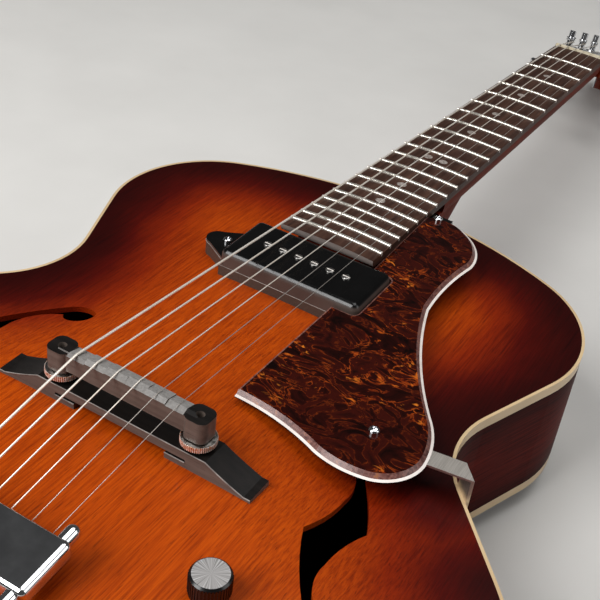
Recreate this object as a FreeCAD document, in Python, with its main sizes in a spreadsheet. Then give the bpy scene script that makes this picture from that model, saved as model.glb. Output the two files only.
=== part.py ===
import FreeCAD, Part
import math
import os
import re
from types import SimpleNamespace

import Sketcher
from FreeCAD import Placement, Rotation, Vector

# An archtop guitar with a single pickup, lying on its back.
# The body frame has its origin where the neck meets the body, on the centre line, in the plane of
# the top's rim: +X is the treble side, +Y runs to the headstock and +Z is up.

# Driving dimensions in millimetres and degrees
SIZES = {
    # Outline of the body
    "body_length": 508.0,
    "lower_bout_width": 406.4,
    "waist_width": 245.4,
    "upper_bout_width": 297.8,
    # Box of the body
    "rim_depth": 77.0,
    "top_rise": 14.0,
    "back_rise": 14.0,
    "flat_rim": 10.0,
    "arch_reach": 110.0,
    "arch_full_from": 340.0,
    "arch_grid": 20.0,
    "plate_thickness": 3.2,
    "side_thickness": 2.6,
    "binding_width": 1.6,
    "binding_height": 6.0,
    "lining_width": 6.0,
    "lining_height": 12.0,
    "neck_block_width": 60.0,
    "neck_block_length": 60.0,
    "tail_block_width": 80.0,
    "tail_block_length": 22.0,
    "tone_bar_width": 6.0,
    "tone_bar_depth": 9.0,
    "tone_bar_spread": 35.0,
    "tone_bar_tail_gap": 88.0,
    "tone_bar_start": 90.0,
    "f_hole_length": 118.0,
    "f_hole_spread": 104.3,
    "f_hole_from_joint": 274.2,
    # Neck and fingerboard
    "scale_length": 630.9,
    "neck_angle": 3.37,
    "board_height": 17.88,
    "board_thickness": 6.0,
    "board_radius": 406.0,
    "board_overhang": 11.0,
    "board_end_width": 59.1,
    "board_end_rounding": 4.2,
    "nut_width": 43.7,
    "nut_thickness": 5.0,
    "nut_land": 1.0,
    "fret_width": 2.4,
    "fret_height": 1.1,
    "marker_radius": 3.0,
    "marker_depth": 1.5,
    "marker_pair_spread": 11.0,
    "neck_depth_at_nut": 16.0,
    "neck_depth_at_joint": 18.0,
    "heel_top_width": 54.0,
    "heel_top_length": 92.0,
    "heel_cap_length": 18.0,
    "heel_cap_width": 34.0,
    "heel_height": 74.0,
    "tongue_width": 40.0,
    "tongue_thickness": 5.0,
    "tongue_length": 100.0,
    "truss_rod_width": 6.0,
    "truss_rod_depth": 9.0,
    "truss_rod_length": 335.0,
    # Headstock
    "head_tilt": 15.0,
    "head_drop": 2.5,
    "head_length": 170.0,
    "head_thickness": 15.0,
    "veneer_thickness": 1.5,
    "head_root_width": 45.0,
    "head_flare_width": 63.0,
    "head_flare_from_nut": 32.0,
    "head_tip_width": 54.0,
    "head_crown": 10.0,
    "volute_length": 30.0,
    "rod_cover_width": 20.0,
    "rod_cover_length": 40.0,
    "rod_cover_thickness": 2.0,
    "rod_cover_gap": 3.0,
    # Tuners, three on each side
    "first_post_from_nut": 38.0,
    "post_spacing": 41.0,
    "first_post_spread": 21.0,
    "post_spread_step": 2.0,
    "post_radius": 3.0,
    "post_height": 16.0,
    "bushing_radius": 5.0,
    "bushing_flange_radius": 7.0,
    "bushing_flange_height": 1.2,
    "gear_radius": 4.4,
    "gear_width": 4.0,
    "worm_radius": 2.6,
    "worm_length": 9.0,
    "key_shaft_radius": 1.8,
    "housing_wall": 1.6,
    "housing_height": 11.0,
    "button_width": 18.0,
    "button_length": 14.0,
    "button_thickness": 8.0,
    "button_gap": 3.0,
    "button_rounding": 2.4,
    "housing_ear_length": 7.0,
    "tuner_screw_radius": 1.2,
    "tuner_screw_length": 9.0,
    # Strings
    "string_spread_at_nut": 36.0,
    "string_spread_at_saddle": 54.5,
    "string_spread_at_tail": 51.5,
    "string_height_at_nut": 1.9,
    "string_height_at_saddle": 6.9,
    "string_height_on_post": 6.5,
    "string_tail_depth": 8.0,
    "string_bend_radius": 6.0,
    "winding_gap": 0.5,
    # Pickguard
    "guard_length": 224.0,
    "guard_height": 14.0,
    "guard_thickness": 3.0,
    "guard_notch_clearance": 1.5,
    "guard_bracket_width": 10.0,
    "guard_bracket_thickness": 1.2,
    "guard_bracket_drop": 20.0,
    "guard_block_width": 12.0,
    "guard_block_length": 20.0,
    "screw_head_radius": 2.6,
    "screw_head_height": 1.4,
    "screw_shank_radius": 1.3,
    # Pickup
    "pickup_from_joint": 126.0,
    "pickup_width": 86.0,
    "pickup_depth": 41.0,
    "pickup_seat_height": 11.0,
    "pickup_base_height": 5.6,
    "pickup_cover_height": 10.5,
    "pickup_cover_wall": 1.5,
    "pickup_cover_rounding": 4.0,
    "pickup_ear_spread": 64.0,
    "pickup_ear_thickness": 1.6,
    "pickup_ear_screw_spread": 50.9,
    "pole_screw_radius": 2.4,
    "pole_shank_radius": 1.5,
    "pole_screw_stand": 0.6,
    "pole_spread": 49.7,
    "coil_height": 8.0,
    "coil_depth": 20.0,
    "magnet_thickness": 3.0,
    "baseplate_thickness": 1.3,
    # Bridge
    "bridge_from_joint": 280.0,
    "bridge_depth": 15.0,
    "bridge_length": 139.0,
    "bridge_top_height": 22.3,
    "bridge_span": 50.0,
    "bridge_span_thickness": 4.5,
    "bridge_tip_height": 14.0,
    "bridge_slot_length": 11.0,
    "bridge_slot_height": 1.6,
    "stud_spread": 37.4,
    "stud_radius": 2.0,
    "stud_length": 19.0,
    "stud_seat": 7.0,
    "wheel_radius": 8.0,
    "wheel_rim_height": 2.8,
    "wheel_boss_radius": 4.0,
    "wheel_boss_height": 0.9,
    "wheel_lift": 2.3,
    "saddle_column_width": 12.0,
    "saddle_wall": 8.5,
    "saddle_column_height": 11.0,
    "saddle_undercut": 1.5,
    "saddle_slope_drop": 1.4,
    "saddle_compensation": 2.5,
    "saddle_under_string": 0.1,
    # Tailpiece
    "crossbar_width": 74.0,
    "crossbar_depth": 28.0,
    "crossbar_thickness": 9.0,
    "crossbar_rounding": 2.8,
    "string_hole_radius": 1.2,
    "string_afterlength": 79.5,
    "crossbar_string_height": 28.5,
    "tail_rod_radius": 3.3,
    "tail_rod_spread": 31.5,
    "tail_rod_nose": 8.5,
    "tail_rod_bend": 12.0,
    "tail_hinge_inset": 5.0,
    "tail_hinge_height": 11.0,
    "tail_plate_thickness": 2.0,
    "tail_plate_width": 40.0,
    "tail_plate_drop": 55.0,
    "tail_knuckle_wall": 1.8,
    "tail_screw_length": 16.0,
    "strap_button_radius": 7.0,
    "strap_button_length": 14.0,
    "strap_button_drop": 38.0,
    "strap_button_neck": 4.2,
    "strap_button_flange": 2.0,
    # Controls
    "knob_radius": 8.4,
    "knob_height": 10.0,
    "knob_chamfer": 0.8,
    "knob_gap": 1.0,
    "volume_spread": 83.7,
    "tone_spread": 104.0,
    "pot_radius": 8.5,
    "pot_height": 9.0,
    "pot_bushing_radius": 4.0,
    "pot_shaft_radius": 3.0,
    "pot_shaft_length": 6.0,
    "pot_nut_radius": 5.5,
    "pot_nut_height": 2.0,
    "jack_angle": 40.0,
    "jack_bore_radius": 3.2,
    "jack_barrel_radius": 4.7,
    "jack_nut_radius": 9.0,
    "jack_nut_height": 3.0,
    "jack_length": 24.0,
    "jack_wall": 1.5,
    # Fits
    "running_clearance": 0.05,
    "moving_clearance": 0.3,
    "fit_clearance": 0.05,
    "drill_clearance": 0.3,
    "overrun": 5.0,
}
FRETS = 21
JOINT_FRET = 14
MARKED_FRETS = (3, 5, 7, 9, 12, 15, 17)
DOUBLE_MARKED_FRET = 12
# Diameters of the strings from the lowest to the highest
STRING_SIZES = {
    "string_six": 1.27,
    "string_five": 0.97,
    "string_four": 0.71,
    "string_three": 0.56,
    "string_two": 0.38,
    "string_one": 0.28,
}
SIZES.update(STRING_SIZES)
WOUND_STRINGS = 4

doc = FreeCAD.newDocument("archtop_guitar")
sheet = doc.addObject("Spreadsheet::Sheet", "Sizes")
for row, (alias, value) in enumerate(SIZES.items(), start=1):
    sheet.set(f"A{row}", alias)
    sheet.set(f"B{row}", str(value))
    sheet.setAlias(f"B{row}", alias)
doc.recompute()
size = SimpleNamespace(**{alias: float(sheet.get(alias)) for alias in SIZES})
pieces = []


# Document objects
def bind(target, prop, expression):
    """Tie a property to the sheet: words of the expression that are sizes become cells."""
    cells = re.sub(r"[a-z_]+", lambda word: f"Sizes.{word[0]}" if word[0] in SIZES else word[0], expression)
    target.setExpression(prop, cells)


def solid(label, shape, place=Placement()):
    """A sub-part whose shape is worked out in code from the sheet's sizes."""
    piece = doc.addObject("Part::Feature", label)
    piece.Shape = shape
    return finish(piece, label, place)


def finish(piece, label, place=Placement()):
    piece.Label = label
    piece.Placement = place
    pieces.append(piece)
    return piece


def body_plane(body, role):
    return next(plane for plane in body.Origin.OriginFeatures if plane.Role == role)


def profile(body, name, role, corners):
    """A closed outline of straight runs whose corners are bound to the sheet."""
    sketch = body.newObject("Sketcher::SketchObject", name)
    sketch.AttachmentSupport = (body_plane(body, role), "")
    sketch.MapMode = "FlatFace"
    turns = [math.tau * index / len(corners) for index in range(len(corners))]
    rough = [Vector(math.cos(turn), math.sin(turn), 0) for turn in turns]
    for start, end in zip(rough, rough[1:] + rough[:1]):
        sketch.addGeometry(Part.LineSegment(start, end))
    for index in range(len(corners)):
        following = (index + 1) % len(corners)
        sketch.addConstraint(Sketcher.Constraint("Coincident", index, 2, following, 1))
    for index, corner in enumerate(corners):
        for kind, text in zip(("DistanceX", "DistanceY"), corner):
            rule = sketch.addConstraint(Sketcher.Constraint(kind, -1, 1, index, 1, 1.0))
            bind(sketch, f"Constraints[{rule}]", text)
    return sketch


def turned(label, corners, place=Placement()):
    """A turned piece: corners are (radius, height) about the local Z axis."""
    body = doc.addObject("PartDesign::Body", label)
    sketch = profile(body, label + "_profile", "XZ_Plane", corners)
    turn = body.newObject("PartDesign::Revolution", label + "_turn")
    turn.Profile = sketch
    turn.ReferenceAxis = (sketch, ["V_Axis"])
    turn.Angle = 360
    return finish(body, label, place)


# Plain shapes
def at(x, y, z):
    return Vector(x, y, z)


def rod(start, end, radius):
    """A round bar between two points."""
    run = end - start
    return Part.makeCylinder(radius, run.Length, start, run)


def block(low, high):
    """A box between two opposite corners."""
    span = high - low
    return Part.makeBox(span.x, span.y, span.z, low)


def raised(edges, height):
    """A flat outline raised straight up."""
    return Part.Face(Part.Wire(edges)).extrude(at(0, 0, height))


def arc(start, middle, end):
    return Part.Arc(start, middle, end).toShape()


def line(start, end):
    return Part.LineSegment(start, end).toShape()


def arc_chain(points):
    """Arcs through every second point of a list, as one open run of edges."""
    return [arc(*points[index:index + 3]) for index in range(0, len(points) - 2, 2)]


def flipped(point):
    """The same point on the other side of the centre line."""
    return at(-point.x, point.y, point.z)


def mirrored(shape):
    """The same shape on the other side of the centre line."""
    return shape.mirror(at(0, 0, 0), at(1, 0, 0))


# Outline of the body: each half is five circles, with a straight stretch on both sides of the waist
def bend_room(bout_width, rise):
    """Radius of a bout and the waist together, where one would run straight into the other."""
    step = (bout_width - size.waist_width) / 2
    return (rise ** 2 + step ** 2) / (2 * step)


def closing_radius(bout_x, run, bout_radius):
    """Radius of the circle on the centre line that closes the outline past a bout, run beyond it."""
    return (bout_x ** 2 + run ** 2 - bout_radius ** 2) / (2 * (run - bout_radius))


def outline_circles():
    """Centre and radius of the tail, lower, waist, upper and shoulder circles on the treble side."""
    lower_share, waist_share, upper_share = 0.664773, 0.350394, 0.172038
    lower_y = -lower_share * size.body_length
    waist_y = -waist_share * size.body_length
    upper_y = -upper_share * size.body_length
    lower_room = bend_room(size.lower_bout_width, waist_y - lower_y)
    upper_room = bend_room(size.upper_bout_width, upper_y - waist_y)
    lower_radius_share, waist_radius_share, upper_radius_share = 0.314961, 0.213121, 0.233042
    lower_room_share, waist_room_share, upper_room_share = 0.644284, 0.263251, 0.716869
    lower_radius = min(lower_radius_share * size.lower_bout_width, lower_room_share * lower_room)
    waist_radius = min(waist_radius_share * size.waist_width, waist_room_share * lower_room)
    upper_bend = upper_room_share * upper_room - waist_radius
    upper_radius = min(upper_radius_share * size.upper_bout_width, upper_bend)
    lower = at(size.lower_bout_width / 2 - lower_radius, lower_y, 0)
    waist = at(size.waist_width / 2 + waist_radius, waist_y, 0)
    upper = at(size.upper_bout_width / 2 - upper_radius, upper_y, 0)
    tail_radius = closing_radius(lower.x, size.body_length + lower_y, lower_radius)
    tail = at(0, tail_radius - size.body_length, 0)
    shoulder_radius = closing_radius(upper.x, -upper_y, upper_radius)
    shoulder = at(0, -shoulder_radius, 0)
    centres = (tail, lower, waist, upper, shoulder)
    radii = (tail_radius, lower_radius, waist_radius, upper_radius, shoulder_radius)
    return list(zip(centres, radii))


def tangent_way(bout, waist, reach, turn):
    """Direction from the bout's centre to the straight stretch that touches bout and waist."""
    run = waist - bout
    angle = math.atan2(run.y, run.x) + turn * math.acos(reach / run.Length)
    return at(math.cos(angle), math.sin(angle), 0)


def outline_half(inset):
    """Points of the treble half from the tail to the neck, as start, middle, end of each bend."""
    circles = outline_circles()
    (tail, _), (lower, low_radius), (waist, waist_radius), (upper, high_radius), (shoulder, _) = circles
    tail_way = (lower - tail).normalize()
    low_way = tangent_way(lower, waist, low_radius + waist_radius, -1)
    high_way = tangent_way(upper, waist, high_radius + waist_radius, 1)
    shoulder_way = (upper - shoulder).normalize()
    low_ways = (tail_way, (tail_way + low_way).normalize(), low_way)
    waist_ways = (low_way, (low_way + high_way).normalize(), high_way)
    high_ways = (high_way, (high_way + shoulder_way).normalize(), shoulder_way)
    low = [lower + way * (low_radius - inset) for way in low_ways]
    middle = [waist - way * (waist_radius + inset) for way in waist_ways]
    high = [upper + way * (high_radius - inset) for way in high_ways]
    return low, middle, high


def outline_edges(inset, z=0.0):
    """The closed outline of the body, moved inwards by inset, at height z."""
    lift = at(0, 0, z)
    low, middle, high = ([point + lift for point in run] for run in outline_half(inset))
    right = [arc(*low), line(low[2], middle[0]), arc(*middle), line(middle[2], high[0]), arc(*high)]
    low, middle, high = ([flipped(point) for point in run] for run in (low, middle, high))
    left = [arc(*low), line(low[2], middle[0]), arc(*middle), line(middle[2], high[0]), arc(*high)]
    tail_tip = at(0, inset - size.body_length, z)
    neck_tip = at(0, -inset, z)
    tail = arc(low[0], tail_tip, flipped(low[0]))
    neck = arc(flipped(high[2]), neck_tip, high[2])
    return Part.__sortEdges__(right + [neck] + left + [tail])


def outline_prism(inset, low, high):
    """The outline, moved inwards by inset, filled between two heights."""
    return raised(outline_edges(inset, low), high - low)


def outline_ring(outer_inset, inner_inset, low, high):
    """A wall that follows the outline between two insets."""
    hollow = outline_prism(inner_inset, low - size.overrun, high + size.overrun)
    return outline_prism(outer_inset, low, high).cut(hollow)


# Arched plates
def smooth(share):
    """Rises from 0 to 1 with level ends."""
    share = min(max(share, 0.0), 1.0)
    return share * share * (3 - 2 * share)


def lengthwise(y):
    """How much of the top's rise is left towards the neck."""
    share = min(max((y + size.arch_full_from) / size.arch_full_from, 0.0), 1.0)
    return (1 + math.cos(math.pi * share)) / 2


def inner_distance(point, face):
    """Distance from the outline to a point inside it, and zero outside."""
    if not face.isInside(point, size.overrun / size.body_length, True):
        return 0.0
    return Part.Vertex(point).distToShape(face.OuterWire)[0]


def even_steps(low, high):
    """Values from low to high, about one grid step apart."""
    count = math.ceil((high - low) / size.arch_grid)
    return [low + (high - low) * index / count for index in range(count + 1)]


def arch_face(rise, taper):
    """The arched surface over the outline's whole rectangle, level along the rim."""
    face = Part.Face(Part.Wire(outline_edges(0)))
    half = size.lower_bout_width / 2 + size.overrun
    rows = []
    for x in even_steps(0, half):
        row = []
        for y in even_steps(-size.body_length - size.overrun, size.overrun):
            depth = inner_distance(at(x, y, 0), face)
            share = smooth((depth - size.flat_rim) / (size.arch_reach - size.flat_rim))
            row.append(at(x, y, rise * share * taper(y)))
        rows.append(row)
    mirror_rows = [[flipped(point) for point in row] for row in rows[:0:-1]]
    return spline_face(mirror_rows + rows)


def spline_face(poles):
    """A smooth surface pulled towards a grid of points, through its border."""
    degree = 3
    surface = Part.BSplineSurface()
    spans = [len(poles) - degree, len(poles[0]) - degree]
    knots = [[float(knot) for knot in range(span + 1)] for span in spans]
    mults = [[degree + 1] + [1] * (span - 1) + [degree + 1] for span in spans]
    surface.buildFromPolesMultsKnots(poles, *mults, *knots, False, False, degree, degree)
    return surface.toShape()


def f_hole_prism():
    """The treble f-hole as a tall block: an upper half and the same half turned end for end."""
    upper_half_shares = (
        (0.094, 0.070), (-0.017, 0.286), (-0.155, 0.463), (-0.227, 0.499), (-0.291, 0.4805),
        (-0.286, 0.408), (-0.222, 0.367), (-0.193, 0.376), (-0.178, 0.396), (-0.095, 0.3305),
        (-0.051, 0.171), (-0.059, 0.0525), (-0.094, -0.070),
    )
    length = size.f_hole_length
    centre = at(size.f_hole_spread, -size.f_hole_from_joint, -size.rim_depth / 2)
    upper = [centre + at(x * length, y * length, 0) for x, y in upper_half_shares]
    lower = [centre * 2 - point for point in upper]
    return raised(arc_chain(upper) + arc_chain(lower), size.rim_depth)


# Frames of the neck, the headstock and the tailpiece in the body frame
def fret_distance(fret):
    """Distance from the nut to a fret."""
    return size.scale_length * (1 - 2 ** (-fret / 12))


along_x = at(1, 0, 0)
neck_slope = math.radians(size.neck_angle)
joint_distance = fret_distance(JOINT_FRET)
nut_y = joint_distance * math.cos(neck_slope)
nut_z = size.board_height - joint_distance * math.sin(neck_slope)
neck_in_body = Placement(at(0, nut_y, nut_z), Rotation(along_x, -size.neck_angle))
head_in_neck = Placement(at(0, size.nut_thickness, -size.head_drop), Rotation(along_x, -size.head_tilt))
head_in_body = neck_in_body * head_in_neck

# The part stands on the back's arch, with its middle over the origin.
head_tip = head_in_body.multVec(at(0, size.head_length, 0)).y
tail_tip = -size.body_length - size.tail_plate_thickness - size.strap_button_length
BODY = Placement(at(0, -(head_tip + tail_tip) / 2, size.rim_depth + size.back_rise), Rotation())
NECK = BODY * neck_in_body
tail_hinge = at(0, size.tail_hinge_inset - size.body_length, size.tail_hinge_height)
crossbar_y = -size.bridge_from_joint - size.string_afterlength
tail_run = crossbar_y - tail_hinge.y
tail_rise = size.crossbar_string_height - size.tail_hinge_height
tail_reach = math.hypot(tail_run, tail_rise)
tail_in_body = Placement(tail_hinge, Rotation(along_x, math.degrees(math.atan2(tail_rise, tail_run))))
TAIL = BODY * tail_in_body
HEAD = BODY * head_in_body


# Fasteners
down = at(0, 0, -1)
upper_screw_shares = (0.160, -0.134)
lower_screw_shares = (0.4125, -0.984)
bracket_way_shares = (0.607, -0.946)
guard_screw_length = size.guard_thickness + size.guard_bracket_thickness * 3


def screw(seat, way, length):
    """A round-headed screw: its head stands on the seat and its shank runs along the way."""
    head = rod(seat, seat - way * size.screw_head_height, size.screw_head_radius)
    return head.fuse(rod(seat, seat + way * length, size.screw_shank_radius))


def screw_hole(seat, way, length):
    radius = size.screw_shank_radius + size.drill_clearance
    return rod(seat - way * size.overrun, seat + way * length, radius)


def guard_point(shares, z):
    """A point of the pickguard, from shares of its length."""
    x_share, y_share = shares
    return at(x_share * size.guard_length, y_share * size.guard_length, z)


def guard_screw_places():
    top = size.guard_height + size.guard_thickness
    return [guard_point(shares, top) for shares in (upper_screw_shares, lower_screw_shares)]


def bracket_foot():
    """Where the guard's bracket meets the side, and the way out of the side there."""
    start = guard_point(lower_screw_shares, 0)
    way = guard_point(bracket_way_shares, 0) - start
    edge = Part.Wire(outline_edges(0))
    crossing = edge.distToShape(line(start, start + way * 2))[1][0][0]
    outside = crossing + way.normalize() * size.overrun
    foot = edge.distToShape(Part.Vertex(outside))[1][0][0]
    return foot, (outside - foot).normalize()


foot, foot_way = bracket_foot()
bracket_screw_seat = foot + foot_way * size.guard_bracket_thickness + down * (size.guard_bracket_drop / 2)
bracket_screw_length = size.guard_bracket_thickness + size.side_thickness


def tail_screw_seats():
    seat_y = -size.body_length - size.tail_plate_thickness
    drop_shares = (0.24, 0.93)
    return [at(0, seat_y, -size.tail_plate_drop * share) for share in drop_shares]


def tail_screw_holes():
    return [screw_hole(seat, at(0, 1, 0), size.tail_screw_length) for seat in tail_screw_seats()]


def side_holes():
    """Holes through the side for the tailpiece's and the guard bracket's screws."""
    reach = bracket_screw_length + size.overrun
    return tail_screw_holes() + [screw_hole(bracket_screw_seat, -foot_way, reach)]


# Body
top_face = arch_face(size.top_rise, lengthwise)
back_face = arch_face(-size.back_rise, lambda y: 1.0)
body_height = size.rim_depth + size.back_rise + size.top_rise
under_top = top_face.extrude(at(0, 0, -body_height))
top_lining_face = top_face.translated(at(0, 0, -size.plate_thickness))
back_lining_face = back_face.translated(at(0, 0, size.plate_thickness - size.rim_depth))


def inner_space():
    """The hollow between the two plates, inside the sides."""
    space = outline_prism(size.side_thickness, -body_height, size.top_rise)
    space = space.common(top_lining_face.extrude(at(0, 0, -body_height)))
    return space.common(back_lining_face.extrude(at(0, 0, body_height)))


def pot_places():
    """Places of the volume and tone controls, on the way from the bridge to the tail."""
    volume_share, tone_share = 0.25307, 0.44298
    run = size.body_length - size.bridge_from_joint
    yield at(size.volume_spread, -size.bridge_from_joint - volume_share * run, 0)
    yield at(size.tone_spread, -size.bridge_from_joint - tone_share * run, 0)


def top_height(place):
    """Height of the top's outer surface over a point of the rim plane."""
    plumb = line(at(place.x, place.y, -size.rim_depth), at(place.x, place.y, size.rim_depth))
    return top_face.distToShape(plumb)[1][0][0].z


def top_plate():
    slab = top_face.extrude(at(0, 0, -size.plate_thickness))
    plate = slab.common(outline_prism(size.binding_width, -size.rim_depth / 2, size.rim_depth / 2))
    hole = f_hole_prism()
    radius = size.pot_bushing_radius + size.drill_clearance
    drill = at(0, 0, size.rim_depth)
    pot_holes = [rod(place - drill, place + drill, radius) for place in pot_places()]
    return plate.cut([hole, mirrored(hole)] + pot_holes)


def back_plate():
    slab = back_face.translated(at(0, 0, -size.rim_depth)).extrude(at(0, 0, size.plate_thickness))
    return slab.common(outline_prism(size.binding_width, -body_height, -size.rim_depth / 2))


def jack_frame():
    """The place of the output jack on the lower bout, with +Z pointing out of the side."""
    tail, tail_radius = outline_circles()[0]
    angle = math.radians(-size.jack_angle)
    way = at(math.cos(angle), math.sin(angle), 0)
    place = tail + way * tail_radius + at(0, 0, -size.rim_depth / 2)
    return Placement(place, Rotation(at(0, 0, 1), way))


def placed(shape, place):
    return shape.transformed(place.toMatrix())


def sides():
    """Bent sides, thinned behind the bindings at both edges."""
    low = size.plate_thickness - size.rim_depth
    high = -size.plate_thickness
    wall = outline_ring(size.binding_width, size.side_thickness, low, high)
    low = size.binding_height - size.rim_depth
    wall = wall.fuse(outline_ring(0, size.binding_width, low, -size.binding_height)).removeSplitter()
    reach = at(0, 0, size.jack_length)
    jack_hole = rod(-reach, reach, size.jack_barrel_radius + size.drill_clearance)
    return wall.cut([placed(jack_hole, jack_frame())] + side_holes())


def binding(low):
    return outline_ring(0, size.binding_width, low, low + size.binding_height)


def neck_block(space):
    half = size.neck_block_width / 2
    low = at(-half, -size.neck_block_length, -body_height)
    return block(low, at(half, size.overrun, size.top_rise)).common(space)


def tail_block(space):
    half = size.tail_block_width / 2
    low = at(-half, -size.body_length - size.overrun, -body_height)
    high = at(half, size.tail_block_length - size.body_length, size.top_rise)
    return block(low, high).common(space)


def linings(space, blocks):
    """Kerfed strips that widen the glue line under both plates."""
    inner = size.side_thickness + size.lining_width
    reach = size.plate_thickness + size.lining_height
    top = outline_ring(size.side_thickness, inner, -reach, size.top_rise)
    back = outline_ring(size.side_thickness, inner, -body_height, reach - size.rim_depth)
    return Part.makeCompound([strip.common(space).cut(blocks) for strip in (top, back)])


def tone_bars():
    """Two bars under the top, one below each foot of the bridge."""
    half = size.tone_bar_width / 2
    low = at(size.tone_bar_spread - half, size.tone_bar_tail_gap - size.body_length, -body_height)
    high = at(size.tone_bar_spread + half, -size.tone_bar_start, body_height)
    bar = top_lining_face.extrude(at(0, 0, -size.tone_bar_depth)).common(block(low, high))
    return Part.makeCompound([bar, mirrored(bar)])


space = inner_space()
blocks = [neck_block(space), tail_block(space)]
solid("top_plate", top_plate(), BODY)
solid("back_plate", back_plate(), BODY)
solid("sides", sides(), BODY)
solid("top_binding", binding(-size.binding_height), BODY)
solid("back_binding", binding(-size.rim_depth), BODY)
solid("neck_block", blocks[0], BODY)
solid("tail_block", blocks[1].cut(tail_screw_holes()), BODY)
solid("linings", linings(space, blocks), BODY)
solid("tone_bars", tone_bars(), BODY)


# Neck, in its own frame: origin on the board at the nut, +Y to the headstock
board_length = fret_distance(FRETS) + size.board_overhang
body_prism = placed(outline_prism(0, -body_height, 0), neck_in_body.inverse())


def board_half_width(y):
    """Half the width of the fingerboard, which widens evenly from the nut to the last fret."""
    share = max(-y, 0) / fret_distance(FRETS)
    return (size.nut_width + (size.board_end_width - size.nut_width) * share) / 2


def crown(radius):
    """A long round bar whose top is the arched playing surface."""
    start = at(0, size.nut_thickness + size.overrun, -size.board_radius)
    end = at(0, -board_length - size.overrun, -size.board_radius)
    return rod(start, end, radius)


def rounded_section(half, y, top, depth):
    """Level on top, with upright cheeks that turn into a rounded belly."""
    belly_shares = (
        (1, 0), (0.98, 0.35), (0.9, 0.62), (0.78, 0.8), (0.46, 0.95),
        (0, 1), (-0.46, 0.95), (-0.78, 0.8), (-0.9, 0.62), (-0.98, 0.35), (-1, 0),
    )
    curve = Part.BSplineCurve()
    curve.interpolate([at(half * x, y, top - depth * z) for x, z in belly_shares])
    return Part.Wire([line(at(-half, y, top), at(half, y, top)), curve.toShape()])


def shaft_section(y, half, depth):
    """The neck's wood under the fingerboard."""
    return rounded_section(half, y, -size.board_thickness, depth)


def heel_section(share, length_share, width_share):
    """One level of the heel in the body frame, rounded away from the body."""
    sunk_share = 0.333
    top = size.board_height - size.board_thickness - size.neck_depth_at_joint * sunk_share
    z = top - (top + size.heel_height) * share
    length = size.heel_cap_length + (size.heel_top_length - size.heel_cap_length) * length_share
    half = (size.heel_cap_width + (size.heel_top_width - size.heel_cap_width) * width_share) / 2
    round_shares = ((1, 0), (0.93, 0.42), (0.7, 0.76), (0, 1), (-0.7, 0.76), (-0.93, 0.42), (-1, 0))
    curve = Part.BSplineCurve()
    curve.interpolate([at(half * x, length * y, z) for x, y in round_shares])
    back = -size.overrun
    corners = [at(-half, 0, z), at(-half, back, z), at(half, back, z), at(half, 0, z)]
    runs = [line(start, end) for start, end in zip(corners, corners[1:])]
    return Part.Wire([curve.toShape()] + runs)


def heel():
    """A long flare from the neck's shaft down to a small cap at the back."""
    level_shares = (
        (0, 1, 1), (0.1, 0.76, 1), (0.2, 0.5, 0.96), (0.3, 0.3, 0.88),
        (0.45, 0.15, 0.7), (0.7, 0.05, 0.35), (1, 0, 0),
    )
    return Part.makeLoft([heel_section(*level) for level in level_shares], True, False)


def head_half_width(y):
    """Half the width of the headstock beyond its flare."""
    run = size.head_length - size.head_crown - size.head_flare_from_nut
    share = max(y - size.head_flare_from_nut, 0) / run
    return (size.head_flare_width + (size.head_tip_width - size.head_flare_width) * share) / 2


def head_slab(top, thickness):
    """The headstock's outline in its own frame, from a height downwards."""
    throat_share = 0.3
    throat_along_share = 0.62
    corner_y = size.head_length - size.head_crown
    root = at(size.head_root_width / 2, 0, top)
    flare = at(size.head_flare_width / 2, size.head_flare_from_nut, top)
    throat = root + at((flare - root).x * throat_share, flare.y * throat_along_share, 0)
    corner = at(size.head_tip_width / 2, corner_y, top)
    flip = lambda point: at(-point.x, point.y, point.z)
    right = [arc(root, throat, flare), line(flare, corner)]
    crest = arc(corner, at(0, size.head_length, top), flip(corner))
    left = [line(flip(corner), flip(flare)), arc(flip(flare), flip(throat), flip(root))]
    slab = raised(right + [crest] + left + [line(flip(root), root)], -thickness)
    return placed(slab, head_in_neck)


def volute():
    """The blend from the round neck to the flat back of the headstock."""
    depth = size.head_thickness - size.veneer_thickness
    section = rounded_section(size.head_root_width / 2, size.volute_length, -size.veneer_thickness, depth)
    root = shaft_section(size.nut_thickness, size.nut_width / 2, size.neck_depth_at_nut)
    return Part.makeLoft([root, placed(section, head_in_neck)], True, True)


def nut_zone():
    half = size.head_flare_width
    return block(at(-half, 0, -size.board_thickness), at(half, size.nut_thickness, size.board_thickness))


def post_places():
    """Side, row and place of each tuner post on the headstock, bass side first."""
    for side in (-1, 1):
        for row in range(3):
            x = side * (size.first_post_spread - row * size.post_spread_step)
            yield side, at(x, size.first_post_from_nut + row * size.post_spacing, 0)


def head_drills(radius):
    reach = at(0, 0, size.head_thickness + size.overrun)
    drills = [rod(place - reach, place + reach, radius) for _, place in post_places()]
    return [placed(drill, head_in_neck) for drill in drills]


def tuner_screw_place(place):
    """Where the screw of a tuner's ear goes in, on the back of the headstock."""
    ear = size.gear_radius + size.moving_clearance + size.housing_wall + size.housing_ear_length / 2
    return place + at(0, ear, -size.head_thickness)


def tuner_screw_holes():
    run = at(0, 0, size.tuner_screw_length)
    radius = size.tuner_screw_radius + size.drill_clearance
    starts = [tuner_screw_place(place) for _, place in post_places()]
    return [placed(rod(start - run, start + run, radius), head_in_neck) for start in starts]


def rod_channel():
    half = size.truss_rod_width / 2 + size.fit_clearance
    floor = -size.board_thickness - size.truss_rod_depth - size.fit_clearance
    end = -size.truss_rod_length - size.fit_clearance
    return block(at(-half, end, floor), at(half, size.fit_clearance, -size.board_thickness))


def tongue():
    """The strip that carries the fingerboard over the top."""
    half = size.tongue_width / 2
    top = -size.board_thickness
    low = at(-half, -joint_distance - size.tongue_length, top - size.tongue_thickness)
    return block(low, at(half, size.overrun - joint_distance, top))


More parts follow.
